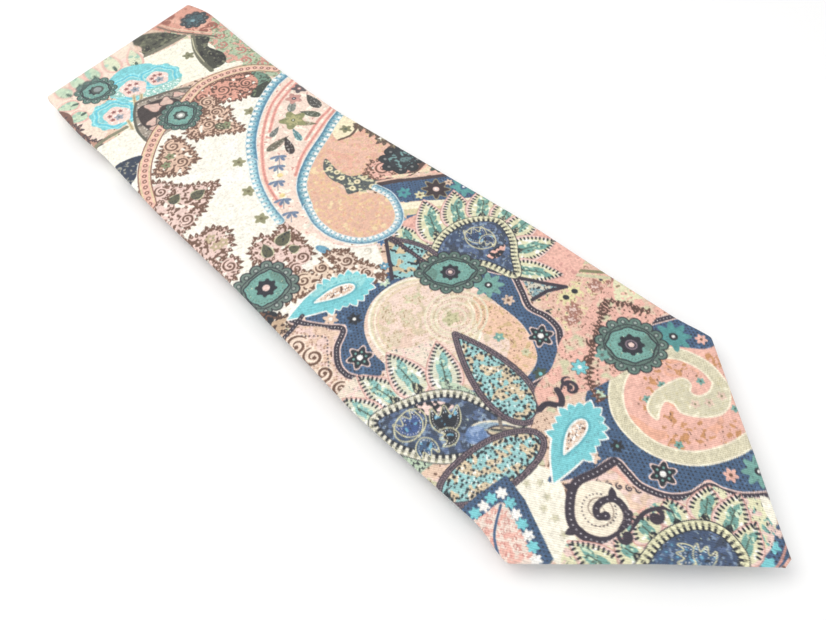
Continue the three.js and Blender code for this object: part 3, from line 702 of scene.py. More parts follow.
def paint_middle():
    """From 85 to 180 mm: the navy cartouche round the ringed oval, two dark buds with flame petals."""
    # right-hand ground
    blob([(18, 98), (24, 112), (30, 128), (60, 132), (60, 96), (44, 95), (32, 96)], (240, 196, 176),
        ("blot", 0.6, (236, 184, 166)), ("speck", 0.7, (232, 216, 168)), ("grain", 1.3, (140, 104, 84)),
        ("speck", 2.0, PLUM))
    for n, (a, b) in enumerate((((40, 127), (58, 108)), ((42, 120), (58, 100)), ((41, 123), (59, 112)),
            ((44, 114), (56, 98)))):
        stroke([a, mix(a, b, 0.5), b], 1.6, (KHAKI, OLIVE, MOSS, KHAKI)[n], True)
    for at in ((33.8, 107.4), (38.6, 107)):
        flower(at, 2.6, (236, 226, 170), NIGHT, 7)
        stamp(at, 1.25, NIGHT)
    for at in ((27, 99.5), (31, 102), (46, 103), (52, 99)):
        lace(ring(at, 2.0, 1.5, 20), tint=PINK, ink=(160, 110, 96), ground=PINK)
    # flame fan round the second bud
    blob([(9, 160), (8, 173), (16, 178.6), (27, 177), (42, 168), (60, 152), (60, 118), (34, 112), (26, 128),
        (30, 140), (46, 150), (40, 160), (22, 163)], SALMON, ("speck", 1.2, ROSE))
    for base, tip, width in (((12, 159), (15.4, 181), 12), ((21, 160), (33.6, 181.6), 13),
            ((32, 159), (47, 177), 12.5), ((41, 156), (58, 169), 12), ((45, 150), (64, 156), 11),
            ((44, 143), (62, 143), 11), ((36, 137), (55, 128), 12), ((29, 132), (42.6, 114.6), 11)):
        flame(base, tip, width)
    # navy cartouche
    blob([(-40, 171), (-30, 170), (-22, 162), (-8, 166), (2, 160), (10, 160), (12, 142), (26, 141),
        (28.5, 129), (19, 115), (22, 103), (16, 97), (9, 91), (1, 90), (-6, 92), (-20, 100), (-34, 131),
        (-38, 133), (-43.6, 138), (-44.6, 145), (-41, 152), (-32, 157), (-38, 163)], NAVY,
        ("pin", 1.2, NIGHT), ("speck", 1.9, (80, 112, 148)))
    # ringed oval
    blob([(-12, 159), (0, 156.6), (9, 149), (13.4, 138), (13.6, 124), (12.4, 110), (6, 98.6), (-3, 95.6),
        (-14, 98), (-28, 118), (-33.6, 136), (-30, 149), (-22, 156.4)], (247, 219, 204),
        ("cloud", 0.5, (240, 208, 190)), ("blot", 1.0, (220, 202, 172)), ("grain", 1.3, (178, 156, 124)))
    for size, ink in ((20.5, (252, 245, 226)), (19.6, (226, 214, 180)), (18.4, (250, 240, 214)),
            (17.2, (226, 208, 170))):
        dots(ring((-10.5, 137.5), size, size * 1.02)[4:116], 0.5, 0.5 if size > 19 else 0.3, ink)
    blob([(10, 132), (13, 122), (12, 110), (6, 99), (-2, 97), (-4, 104), (4, 110), (0, 120), (6, 128)],
        (244, 200, 172), ("speck", 0.7, (206, 176, 130)), ("grain", 1.7, RUST))
    for at, size in (((-1, 131), 12), ((-1, 131), 9.6), ((-2, 131), 7.2), ((-2, 131), 4.4)):
        stroke(around(ring(at, size, size * 0.92)), 0.8, (232, 222, 194))
        dots(ring(at, size - 1.1, (size - 1.1) * 0.92), 1.0, 0.22, (160, 150, 116))
    fill(ring((-3, 131.5), 3.2, 2.6, 0, 5, 0.2), (206, 200, 158), ("grain", 0.9, OLIVE))
    for at in ((-14, 144), (-18, 150), (-24, 140), (-6, 148), (-22, 130)):
        fill(ring(at, 4.2, 2.6, 7 * at[0], 5, 0.2), (234, 214, 188), ("grain", 0.9, (160, 136, 104)),
            ("speck", 1.0, KHAKI))
    flower((2.6, 113.4), 1.7, TEAL, MINT, 5)
    flower((4.4, 102.4), 1.5, KHAKI, OLIVE, 6)
    flowers(((-28, 157), 2.3, NIGHT, WHITE), ((-34, 163.4), 2.5, PEACH, WHITE),
        ((-8.2, 161.6), 1.9, MINT, WHITE), ((18, 132), 5.0, TEAL, NIGHT), ((17.6, 121.8), 2.1, PEACH, RUST),
        ((1, 93), 2.3, MOSS, AQUA))
    for at in ((-37.8, 143.4), (13.4, 103)):
        starred(at, 3.7, 2.3, 0.45)
    piping(smooth([(-44, 174), (-41, 168), (-37.4, 162), (-34, 156.6), (-40.6, 152.6), (-45, 147),
        (-45.8, 142), (-44.4, 138.4)]), 2.1)
    piping(smooth([(22.4, 141), (25.4, 134), (28, 128.6), (24.4, 121), (20.6, 114), (21.6, 107),
        (20.4, 100.6), (16.8, 96.8), (11, 91.6), (4, 89.8), (-4, 91.4)]), 2.2)
    line([(17, 97), (21, 95.6), (27, 96), (33, 95.4)], 2.0, PLUM, True)
    # left column of scrolls
    blob([(-60, 180), (-50, 172), (-42, 168), (-37, 158), (-47, 150), (-48, 140), (-46, 134), (-60, 132)],
        PEACH, ("blot", 0.3, PINK), ("grain", 1.3, (150, 110, 90)))
    for at, size, turn in (((-50, 164), 4.4, 0), ((-49, 156), 4.0, 60), ((-51, 148), 3.6, 120),
            ((-51, 139), 3.0, 20)):
        curl(at, size, turn, 1.6, RUST, 1.1, (250, 226, 206))
        dots(ring(at, size + 1.2), 1.6, 0.3, (150, 110, 90))
    dots(smooth([(-46, 166), (-40.6, 159), (-44, 154), (-48.5, 148)]), 1.5, 0.35, PLUM)
    # left bud and its petals
    blob([(-60, 136), (-48, 139), (-42, 138), (-37, 132), (-30, 138), (-22, 133), (-14, 128), (-18, 112),
        (-34, 118), (-60, 122)], (242, 226, 206), ("speck", 0.9, PINK), ("grain", 1.6, SLATE))
    for base, tip, width in (((-40.4, 119), (-43.6, 139), 10), ((-33, 116.6), (-30, 138), 11.4),
            ((-27, 110), (-14, 128.6), 11), ((-50, 120), (-53, 136), 9)):
        flame(base, tip, width, (226, 228, 206), (140, 196, 190))
    blob([(-60, 100), (-46, 96), (-36, 88), (-24, 84), (-20, 92), (-21, 108), (-26, 116), (-30, 108),
        (-60, 112)], MINT, ("speck", 0.5, (150, 170, 150)), ("grain", 1.0, NIGHT))
    bud(closed([(-20.6, 85), (-20.4, 93), (-22, 101), (-24.8, 108), (-30.4, 114), (-39, 118.8),
        (-51, 122.4), (-53.6, 114), (-51, 105), (-46, 96.4), (-38, 90), (-29, 86.6)]), (234, 230, 212), 2.3,
        1.4)
    blob([(-38, 116), (-32, 112), (-29, 106), (-33, 107), (-38, 111)], NIGHT, ("speck", 0.3, PINK))
    tulip((-44, 112), 4.6, 0, (60, 84, 140))
    tulip((-34.6, 104.6), 5.2, -40, NIGHT)
    stroke(ring((-44, 112), 6.4, 4.8, 10), 0.5, KHAKI)
    tulip((-46, 102.6), 3.6, 160, NAVY)
    tulip((-38, 99.6), 3.2, 60, NIGHT)
    fill(drop((-34.4, 95.6), (-16.6, 80.6), 9.6), (238, 228, 208), ("grain", 1.3, KHAKI))
    fill(drop((-33.6, 95), (-19.6, 83.4), 8), (150, 176, 196), ("speck", 0.9, (196, 206, 200)),
        ("grain", 1.4, NAVY))
    fill(drop((-34.4, 95.8), (-27.4, 89.6), 6.4), (98, 128, 176), ("speck", 0.7, (140, 164, 200)),
        ("grain", 1.5, NAVY))
    fill(drop((-28.4, 91.6), (-19.4, 83.4), 4.2), (214, 196, 164))
    stroke(around(drop((-28.4, 91.6), (-19.4, 83.4), 3.6)), 0.6, PLUM)
    line([(-27, 91), (-23, 86.6), (-18, 84)], 0.9, NIGHT)
    line([(-28.5, 92.6), (-25, 88), (-19, 84.6)], 0.5, (170, 170, 150))
    # second dark bud, its rosette and the speckled leaves beside them
    bud(closed([(13, 156), (22, 161.4), (32, 162), (41, 158.6), (46.4, 151.4), (43.4, 142), (36.4, 134.6),
        (28.6, 127.6), (25, 140), (18, 150)]), (236, 232, 196), 2.1, 1.2)
    blob([(28, 141.6), (33, 142.4), (38, 141), (34, 138.4), (30, 138.6)], NIGHT, ("speck", 0.2, SALMON))
    tulip((34, 152.4), 4.4, -25, (54, 74, 112))
    tulip((35.4, 147.4), 3.2, 120, (54, 74, 112))
    stroke(ring((34, 150.4), 5.6, 6.4, 0), 0.5, KHAKI)
    leaf(drop((12, 153), (8.4, 176.6), 9.6))
    fill([(-5, 160.6), (7.4, 177), (9.4, 156), (2, 155)], (150, 204, 204), ("blot", 0.35, (212, 190, 152)),
        ("speck", 0.85, NIGHT))
    stroke([(-5, 160.6), (7.4, 177)], 1.5, PLUM)
    stroke([(9.4, 176), (9.8, 157)], 1.9, PLUM)
    dots(np.array([(9.4, 176), (9.8, 157)]), 1.3, 0.2, ROSE)
    rosette((12.9, 146.9), 13.2, 9.6, -43, 1.28, 16, (88, 116, 106))
    fill([(24, 115), (29, 125), (38, 111)], (140, 176, 184), ("speck", 0.3, (214, 208, 190)),
        ("grain", 0.9, NIGHT))
    stroke([(24, 115.4), (31, 114.2), (38, 110.6)], 1.6, PLUM)
    stroke([(28.6, 125.6), (33, 118), (38, 110.6)], 1.7, PLUM)
    leaf(drop((-14.6, 83.4), (-7.2, 126), 16.5))
    # first plume
    blob([(-12, 182), (-3, 184), (2.4, 179), (0, 172), (-3.4, 166), (-6.4, 162.6), (-10, 163), (-12, 172)],
        PAPER)
    lace(closed([(-13, 188), (-8, 184), (-7.6, 176), (-4.6, 168), (-7, 163), (-12, 168), (-16, 176)]),
        ((-9.6, 170), 2.2, 40), ((-11, 180), 2.4, 160), tint=(238, 214, 196))
    curl((-2, 178), 2.0, 200, 1.2, (216, 206, 188), 0.6)
    flower((-2.6, 167.4), 1.7, BEAD, WHITE, 6)
    plume((-11.8, 166.4), (-43.4, 178.8), 13.4, -3.6)
    line([(-60, 170), (-48, 170.6), (-40, 172.6)], 1.7, PLUM)
    dots(smooth([(-60, 170), (-48, 170.6), (-40, 172.6)]), 1.6, 0.2, WHITE)


def paint_upper():
    """From 175 to 300 mm: white ground with brown lace, the comma, the salmon drop, the navy band."""
    blob([(-60, 268), (-46, 296), (-26, 298), (-8, 296), (8, 300), (26, 290), (40, 292), (58, 294),
        (40, 286), (20, 276), (0, 256), (-12, 236), (-15, 216), (-10, 200), (-4, 186), (-10, 178),
        (-26, 180), (-60, 180)], PAPER, ("cloud", 1.2, (252, 249, 240)))
    lace(closed([(-60, 270), (-42, 267), (-34, 264), (-28, 259), (-20, 252.6), (-27, 249), (-34, 244),
        (-44, 241), (-60, 240)]), ((-37, 262.4), 3.0, 30), ((-41.4, 245), 3.0, 200))
    lace(closed([(-60, 239), (-43, 234), (-38, 233.4), (-33.6, 228.6), (-36, 221), (-43, 217.4),
        (-60, 214)]))
    for at in ((-41, 229), (-38.6, 223.4), (-42, 224)):
        flower(at, 2.0, (196, 176, 140), PINK, 5)
    lace(closed([(-48, 214), (-40, 214.6), (-42, 209), (-48, 206)]), ((-44, 212), 3.0, 60))
    lace(closed([(-36, 206), (-33, 212), (-27, 215), (-22, 211), (-15, 214.6), (-10.6, 211.6), (-14, 206),
        (-16.6, 200), (-17, 194), (-22, 192), (-28, 195), (-32, 200)]), ((-21.6, 194.4), 2.8, 200),
        ((-27, 191.6), 2.6, 20))
    lace(closed([(-35, 186), (-28, 189), (-21, 184), (-17, 188), (-10.4, 187), (-9, 181), (-12, 175),
        (-17, 171), (-24, 174), (-30, 178), (-40, 182)]), ((-29, 185), 3.2, 20), ((-20, 184.6), 2.4, 120),
        tint=(240, 214, 190))
    for base, tip, width in (((-33, 253), (-26, 253.4), 5), ((-41, 257), (-35, 259.4), 4.4),
            ((-24.4, 206), (-16, 209), 5.4), ((-30.6, 203.6), (-28, 211), 4.2),
            ((-23, 200.6), (-18.6, 199.4), 4)):
        fill(drop(base, tip, width + 1.2), KHAKI)
        fill(drop(base, tip, width), (92, 92, 72), ("grain", 1.0, NIGHT))
    for at in ((-6, 256), (-14, 238.6), (-20, 222.4), (19, 280.4)):
        flower(at, 2.6, (150, 148, 112), (110, 104, 76), 5, None, 40)
    rosette((-41, 193), 11, 10.4, 0, 0.62, 14, (104, 124, 116))
    flower((-41, 193), 3.6, NIGHT, WHITE, 8)
    stamp((-41, 193), 1.5, PINK)
    lace(closed([(-60, 182), (-48, 180), (-44, 176), (-50, 172), (-60, 172)]), tint=(200, 170, 140),
        ink=(70, 52, 48))
    # dark clump above the rosette
    blob([(-60, 186), (-50, 186), (-46, 180), (-60, 178)], NIGHT, ("speck", 0.4, RUST))
    # salmon field and drop
    blob([(4, 222), (20, 236), (44, 250), (60, 252), (60, 196), (42, 196), (27, 200), (20, 206), (14, 214)],
        (238, 190, 168), ("blot", 0.5, (232, 176, 154)), ("speck", 1.0, (214, 182, 140)),
        ("grain", 1.9, (186, 124, 100)))
    blob([(36, 242), (44, 248), (60, 252), (60, 236), (50, 236), (44, 233.6), (34, 234.6)], (250, 236, 200))
    blob([(6, 180), (16, 181.6), (22.4, 188), (23, 196), (18, 204.6), (14.6, 210), (15, 220), (21, 230),
        (30, 238), (12, 230), (1, 219), (-4.6, 204), (-3, 189)], (234, 186, 162),
        ("speck", 0.5, (226, 190, 146)), ("blot", 1.3, (242, 214, 170)), ("grain", 1.3, (206, 150, 124)))
    # comma band
    blob([(60, 296), (40, 286.6), (28, 281), (17, 273), (6, 262), (-3, 250), (-10, 236), (-13.6, 222),
        (-14, 208), (-11, 196), (-7, 188), (-3, 189), (-5.4, 200), (-4, 210), (0, 220), (8, 229),
        (20, 236.4), (34, 244), (60, 254)], (246, 220, 204), ("blot", 0.9, CREAM), ("speck", 1.9, ROSE))
    for path in (smooth([(58, 288), (41, 282), (28, 276), (14, 264), (4, 252), (-5, 238), (-10, 222)]),
            smooth([(60, 286), (42, 279), (29, 273), (16, 262)]),
            smooth([(58, 258), (44, 251.6), (30, 245.6), (16, 239), (6, 231.6)]),
            smooth([(60, 262), (46, 255), (36, 251.6), (24, 246)])):
        stroke(path, 1.6, (236, 168, 154))
        stroke(path, 0.5, (206, 132, 124))
    for base, tip, width, ink in (((7, 252.4), (20, 253.4), 4, (110, 104, 88)),
            ((13.6, 243), (18.6, 254), 4, (56, 48, 48)), ((43, 259), (45.6, 271), 5.6, (66, 66, 62)),
            ((22, 247), (24.6, 256), 3, (90, 140, 146)), ((39.6, 254), (34.6, 263), 4, (86, 92, 76)),
            ((31.6, 266), (38.6, 272), 4, (120, 128, 120)), ((14, 258.6), (21, 261.6), 3, (110, 116, 112)),
            ((29, 256.6), (34.6, 250.6), 3, (140, 130, 100))):
        fill(drop(base, tip, width), ink, ("grain", 1.1, mix(ink, WHITE, 0.5)))
        stroke([base, tip], 0.3, mix(ink, NIGHT, 0.5))
    flower((28.6, 260.4), 5.4, (140, 142, 96), (96, 100, 64), 5)
    flower((28.6, 260.4), 3.4, (176, 172, 120), (90, 96, 60), 7)
    flower((39, 272.4), 3.4, ROSE, PLUM, 5)
    flower((46, 277), 3.2, (90, 80, 84), ROSE, 5)
    for x, y in ((4.6, 242), (-1.4, 234.6), (-6.4, 224.6), (-9, 216.6), (9, 246.4)):
        for dx, dy in ((-3.6, -2.0), (-0.4, -4.2), (-4.4, 1.0), (1.8, -3.0)):
            fill(drop((x + dx, y + dy), (x, y), 1.5), (112, 134, 164), ("grain", 0.8, (84, 98, 128)))
        stroke([(x - 3.6, y - 4.6), (x, y)], 0.3, (96, 108, 130))
    for at in ((-5.6, 226.4), (1.4, 236.4), (-1.4, 250)):
        stamp(at, 1.3, (238, 214, 150))
    fill(ring((-13.4, 191.4), 1.7, 3.4, 15), (110, 170, 196), ("grain", 1.0, NAVY))
    # crescent leaf
    crescent = closed([(22, 230), (17, 226), (15, 219), (16, 212), (14, 207), (17, 205), (21, 202.6),
        (25, 198), (29, 203), (27, 210), (22, 214), (20.6, 221)])
    fill(crescent, (84, 92, 92), ("speck", 0.8, KHAKI), ("grain", 1.4, NIGHT))
    for at in ((18.6, 216), (19.6, 220), (19, 224), (17.6, 208), (24, 202.6), (21.6, 209.4), (25.6, 209)):
        stamp(at, 1.4, (238, 224, 184))
        stamp(at, 0.5, OLIVE)
    lace(closed([(28, 210), (34, 213), (40, 210), (38, 203), (30, 201)]), ((34.6, 207), 3.6, 40),
        tint=SALMON)
    for n in range(5):
        lace(ring((49 + n % 2, 206 + 7.4 * n), 2.6, 3.4, 20 * n), tint=(150, 140, 110), ink=(84, 66, 58))
    line([(34, 235), (39, 233.6), (44, 235), (48, 238)], 1.2, (96, 74, 62))
    flower((41.4, 238.6), 2.4, OLIVE, MOSS, 5)
    line([(28, 202), (35, 198.4), (44, 196.6), (58, 200)], 2.4, (84, 64, 60))
    line([(30, 203.4), (36, 200), (44, 198.6), (57, 202)], 0.7, (232, 168, 150))
    rosette((44.6, 206), 8.2, 7.4, 0, 1, 9, (40, 46, 50))
    fill(ring((44.6, 206), 6, 5.4, 0, 6, 0.15), (48, 54, 60), ("grain", 0.9, NIGHT),
        ("speck", 1.0, (110, 150, 150)))
    fill(drop((43.6, 205.6), (49, 203.4), 3.4), (96, 128, 130), ("grain", 1.0, NIGHT))
    # navy band
    fill([(24, 203), (60, 178), (60, 164), (30, 186), (22, 180), (18, 176), (24, 172), (28, 182),
        (26, 190)], NAVY)
    fill([(26.6, 201), (60, 179), (60, 158), (25.6, 187.6)], NAVY, ("speck", 1.6, (80, 112, 148)),
        ("pin", 1.7, NIGHT))
    fill([(24, 188), (60, 160), (60, 156), (22, 184.6)], (250, 240, 210))
    fill([(22, 184.6), (60, 156), (60, 153), (20.6, 181.4)], (216, 206, 160), ("grain", 1.2, SALMON))
    stroke([(26.6, 201.4), (60, 180)], 1.9, (66, 54, 58))
    stroke([(27, 203.2), (60, 182.2)], 0.9, (230, 190, 170))
    fill([(30, 204), (60, 184.4), (60, 196), (46, 195), (36, 197)], (244, 226, 190), ("speck", 0.9, SALMON))
    flower((52.5, 192), 3.2, MOSS, SLATE, 6)
    for at, size, petal, core in (((30.6, 190.2), 2.6, (76, 156, 160), NAVY),
            ((34.4, 184.4), 2.0, (222, 214, 170), RUST), ((42, 182.4), 4.6, (54, 44, 48), PINK),
            ((49, 181.6), 1.6, PEACH, RUST), ((51.4, 175.2), 4.8, (84, 156, 156), NAVY)):
        flower(at, size, petal, core, 8 if size > 4 else 6, (150, 140, 110) if size == 4.6 else None)
    for n in range(7):
        flower((-2.6 + 3.7 * n, 178.6 - 1.5 * np.sin(0.5 * n)), 1.5 + 0.4 * (n % 2),
            (BEAD, WHITE, (60, 110, 160))[n % 3], NAVY, 6)


def paint_beads():
    """The blue beads along both sides of the comma and round its drop."""
    for path, ink, side, width in (([(60, 294), (41, 288.6), (29, 282.6), (18, 274.6), (6.6, 263.4),
            (-1.6, 251.6)], (90, 160, 186), -1, 4.4), ([(-1.6, 251.6), (-8, 241), (-13, 228), (-15.4, 216)],
            (130, 190, 206), -1, 3.6), ([(60, 254), (44, 248), (32, 242), (20, 236.6), (10, 230.6),
            (2.6, 223.6), (-2.4, 214)], (84, 150, 172), 1, 4.0),
            ([(-2.4, 214), (-5.6, 204), (-5.4, 194), (-1.6, 185.4), (4, 180.6), (12, 178.6), (19, 181),
            (23.4, 187), (25.6, 194), (24.6, 201)], (116, 172, 192), 1, 3.0)):
        beads(smooth(path), ink, side, width)
    line([(-9, 204), (-8.6, 194), (-4.6, 184), (4, 177)], 0.6, PINK)


def paint_far():
    """The last 85 mm before the far fold: the pointed bud, the aqua cloud, the petals, the rosy band."""
    blob([(-60, 314), (-46, 310), (-28, 313), (-24, 326), (0, 352), (14, 352), (24, 351), (32, 351),
        (40, 340), (60, 330), (60, 300), (40, 312), (20, 318), (0, 322), (-16, 322), (-24, 300), (-34, 296),
        (-60, 296)], (251, 247, 228))
    flower((24.6, 338), 2.6, (130, 130, 98), (96, 96, 70), 5)
    # right column
    blob([(28, 372), (60, 374), (60, 286), (46, 292), (38, 300), (41, 314), (34, 320), (38, 336), (36, 350),
        (30, 360)], (226, 168, 150), ("blot", 0.2, (176, 196, 164)), ("speck", 1.0, (126, 142, 112)),
        ("grain", 1.6, RUST))
    for n, at in enumerate(((45, 354), (44, 346), (47, 337), (43, 330), (47, 320), (43, 311), (47, 303))):
        fill(ring(at, 5.2, 3.2, 25 + 31 * n, 5, 0.15), (178, 200, 164), ("speck", 0.7, (120, 136, 104)),
            ("grain", 1.4, SALMON))
        curl((at[0] - 1, at[1] + 3), 3.2, 50 * n, 1.2, (190, 120, 110), 1.0)
    # dark quadrangles
    blob([(8, 354), (20, 353), (32, 353.4), (30, 360), (26, 366), (18, 371), (9, 371), (12, 362)],
        (70, 72, 60), ("blot", 0.4, (38, 38, 36)), ("speck", 1.0, (110, 112, 88)))
    line([(8.6, 354.4), (20, 353.6), (33, 354)], 2.6, (116, 114, 98))
    blob([(36, 350), (31, 342), (27, 332), (25.6, 321), (34, 320), (38, 327), (36, 337), (41, 343)],
        (58, 60, 52), ("blot", 0.4, (34, 34, 34)), ("speck", 1.2, (110, 112, 90)))
    line([(36, 350.4), (30, 340), (26.6, 330), (25.4, 319.6)], 2.4, (104, 104, 86))
    line([(34.4, 349), (29.6, 339), (27, 328)], 0.6, (196, 192, 160))
    # rosy band along the far corner
    band = closed([(24, 380), (30, 362), (36, 352), (43, 344), (47, 350), (52, 356), (60, 366), (60, 380)])
    fill(band, (226, 160, 140), ("cloud", 0.6, (238, 180, 158)), ("speck", 1.2, (170, 104, 88)),
        ("grain", 1.8, RUST))
    for at, size, turn in (((34, 371), 3.2, 0), ((38, 374), 2.8, 80), ((53, 362), 3.2, 130),
            ((48, 351), 3.4, 220), ((43, 350), 2.6, 20)):
        curl(at, size, turn, 1.4, (150, 88, 74), 1.5)
    line([(28, 371), (31, 362), (37, 352), (44, 341)], 1.2, (104, 96, 82))
    line([(30, 371), (33, 363), (39, 353), (46, 343)], 0.7, (226, 206, 178))
    rosette((45, 362), 6.8, 5.6, 10, 1, 10, (52, 66, 70))
    fill(ring((45, 362), 5.4, 4.0, 10, 6, 0.1), (66, 96, 104), ("grain", 0.8, NIGHT))
    stamp((44, 362), 1.2, (120, 160, 170))
    # left column, petals and the first rosette of the row
    blob([(-60, 372), (-30, 378), (10, 378), (9, 362), (6, 352), (-30, 334), (-36, 316), (-60, 312)],
        (246, 226, 206), ("speck", 1.2, PINK))
    for base, tip, width, pale in (((-33, 352), (-36, 366), 9, MINT), ((-26, 354), (-25, 369), 9, MINT),
            ((-17.6, 354), (-16, 371), 9, MINT), ((-7.4, 353), (-4, 372), 9.6, (226, 232, 200)),
            ((1.4, 348), (8, 366), 8.6, (226, 232, 200)), ((-33, 345), (-44, 349), 9, MINT),
            ((-34, 337), (-45, 335), 10, MINT)):
        outer = drop(base, tip, width)
        fill(outer, (232, 184, 172))
        fill(drop(mix(base, tip, 0.06), mix(base, tip, 0.93), width * 0.74), pale,
            ("blot", 0.9, (160, 200, 178)), ("grain", 1.9, MOSS))
        stroke([mix(base, tip, 0.05), mix(base, tip, 0.3)], 1.6, (70, 96, 84), True)
    line([(-46, 350), (-42, 341), (-45, 331), (-44, 320)], 3.0, (120, 84, 74))
    for at in ((-45, 330), (-46, 320), (-47, 340), (-44, 314)):
        lace(ring(at, 2.6, 3.4), tint=(200, 150, 130), ink=(70, 56, 60))
    dots(smooth([(-44, 364), (-36, 366.6), (-28, 367.6)]), 1.9, 0.8, (150, 110, 96))
    # aqua cloud
    for at in ((-26, 326), (-9, 337.6), (4, 334)):
        stamp(at, 10.6, AQUA)
        dots(ring(at, 9.6), 6, 2.0, AQUA)
    blob([(-20, 346), (-10, 352), (-2, 353), (8, 346), (0, 340), (-18, 338)], AQUA)
    for at in ((-26, 326), (-9, 337.6), (4, 334)):
        for size, ink in ((9.6, (150, 228, 236)), (8.4, (86, 196, 222)), (7.4, (170, 226, 224))):
            petal = ring(at, size, size, 0, 6, 0.08)
            stroke(around(petal), 0.7, ink)
    blob([(-20, 338), (-12, 330), (-4, 322), (6, 322), (12, 326), (2, 328), (-6, 331), (-14, 341)],
        (150, 206, 196), ("grain", 1.0, WHITE))
    for at, size in (((-25.4, 324), 6.2), ((-9, 336), 6.2), ((3.6, 334), 5.2)):
        fill(ring(at, size, size * 1.08, 0, 5, 0.06), (246, 216, 206), ("grain", 1.7, WHITE))
        for a in (35, 90, 145, 200):
            spot = (at[0] + 0.55 * size * np.cos(np.radians(a)),
                at[1] + 0.55 * size * np.sin(np.radians(a)))
            flower(spot, 1.05, (176, 110, 104), PLUM, 5)
        flower((at[0], at[1] - 1.5), 1.9, (156, 164, 178), SLATE, 5)
    for path in (smooth([(-12, 331), (-14.6, 326), (-17, 320)]),
            smooth([(-24, 317), (-25, 313), (-26, 310)]), smooth([(-9, 329), (-13, 323), (-14, 318)])):
        stroke(path, 1.7, (216, 200, 160))
        stroke(path, 0.5, (168, 148, 110))
    line([(-48, 311.4), (-38, 313.4), (-27, 313.4)], 2.0, (130, 128, 104))
    blob([(-52, 310), (-44, 311), (-34, 311), (-27, 311), (-25, 302), (-29, 295.6), (-44, 296), (-52, 298)],
        (251, 247, 232))
    rosette((-22.6, 348), 8.6, 8.6, 0, 0.8, 13, (88, 128, 116))
    stamp((-21.6, 348), 3.0, (70, 80, 76))
    stamp((-21.6, 348), 1.9, (140, 150, 150))
    # pointed bud
    blob([(-14, 326), (-4, 323.6), (6, 320), (13, 314), (4, 306), (-4, 298), (-16, 296), (-26, 297),
        (-25.4, 306), (-21, 316)], (164, 152, 138), ("speck", 0.9, (96, 88, 84)), ("grain", 1.7, WHITE))
    line([(-26, 297), (-25, 307), (-20, 318), (-14.4, 325.4)], 1.3, (84, 84, 74))
    line([(-14.4, 325.4), (-3, 322.6), (6, 318.6), (13, 313)], 1.5, (96, 90, 80))
    blob([(-17, 320), (-11, 321), (-2, 317.6), (1, 311), (-6, 309), (-14, 309), (-20, 303), (-21, 310)],
        (54, 46, 46))
    for at, wide, high, turn in (((-10.4, 316.4), 4.2, 3.0, 120), ((-3.8, 315.6), 3.2, 3.0, 60),
            ((-17, 307.6), 3.0, 2.2, 30), ((-18.4, 303), 2.6, 2.0, 10), ((3.4, 316), 3.0, 2.0, -40)):
        fill(ring(at, wide, high, turn, 3, 0.2), (222, 190, 176), ("grain", 1.2, ROSE))
        stroke(ring(at, wide, high, turn, 3, 0.2), 0.5, (90, 74, 70))
    # rust lace clumps
    lace(closed([(5, 309), (14, 311), (26, 309.4), (36, 306), (38, 299), (33, 293), (24, 291), (15, 296),
        (14, 303), (6, 301)]), ((10, 306), 3.4, 60), ((20, 303), 3.6, 200), ((31, 299), 3.0, 20),
        tint=(226, 160, 140), ink=(92, 62, 52))
    lace(closed([(8, 304), (13, 299), (11, 294), (14, 289), (10, 284), (9, 272), (3, 276), (-4, 281),
        (-10, 283), (-10, 290), (-2, 292), (2, 298)]), ((9.4, 301), 3.2, 20), ((0, 287), 3.2, 200),
        ((8, 292), 2.8, 300), tint=(230, 194, 170))
    fill(drop((2, 284.6), (6, 277), 4.6), (84, 84, 66), ("grain", 1.0, KHAKI))
    lace(closed([(-16, 291), (-15, 282), (-17, 272), (-22, 271), (-27, 268), (-31, 272), (-36, 276),
        (-30, 282), (-24, 288)]), ((-20, 286.4), 3.6, 60), ((-23, 275), 3.0, 200), tint=(230, 194, 170))
    lace(closed([(-44, 274), (-38, 272), (-34, 266), (-38, 262), (-46, 262), (-52, 268)]),
        ((-40, 266), 3.0, 60))
    for at in ((-29, 278), (-24.6, 281.6), (6, 281)):
        flower(at, 1.9, (130, 140, 104), RUST, 5)
    blob([(38, 304), (42, 298), (40, 290), (34, 288), (30, 290), (36, 296)], (110, 146, 126),
        ("speck", 0.6, MOSS))
    blob([(26, 289), (33, 293), (40, 292), (38, 287), (30, 285)], (52, 58, 50),
        ("speck", 0.8, (110, 128, 96)))
    # dotted rosy bands
    for path, width in ((smooth([(1, 308), (8, 311.6), (16, 314), (25, 313.4), (34, 310.6), (42, 305),
            (48, 298)]), 5.0), (smooth([(-12, 303), (-19, 299.4), (-28, 292.4), (-36, 284), (-42, 275),
            (-47, 264)]), 5.0)):
        stroke(path, width + 1.0, (126, 84, 70))
        stroke(path, width, (240, 190, 172))
        for aside in (-1, 1):
            points, side = spaced(path, 0.4)
            stamp(points + aside * (width / 2 - 0.5) * side, 0.3, (222, 206, 160))
        dots(path, 3.3, 1.05, (126, 76, 66))
        dots(path, 3.3, 0.5, (236, 196, 180))
    blob([(-52, 293), (-44, 294.4), (-36, 293), (-33, 290.6), (-38, 287), (-43, 281), (-52, 280)],
        (44, 56, 78), ("speck", 0.6, (150, 150, 140)), ("grain", 1.3, NIGHT))
    rosette((-5, 302), 9.4, 8.6, 40, 0.66, 14, (84, 118, 108))
    stamp((-5, 302), 3.1, (52, 62, 60))
    stamp((-5, 302), 2.0, (170, 178, 172))
    stamp((-5, 302), 1.1, WHITE)


HAZE, HAZE_COLOUR = 0.09, (240, 232, 220)


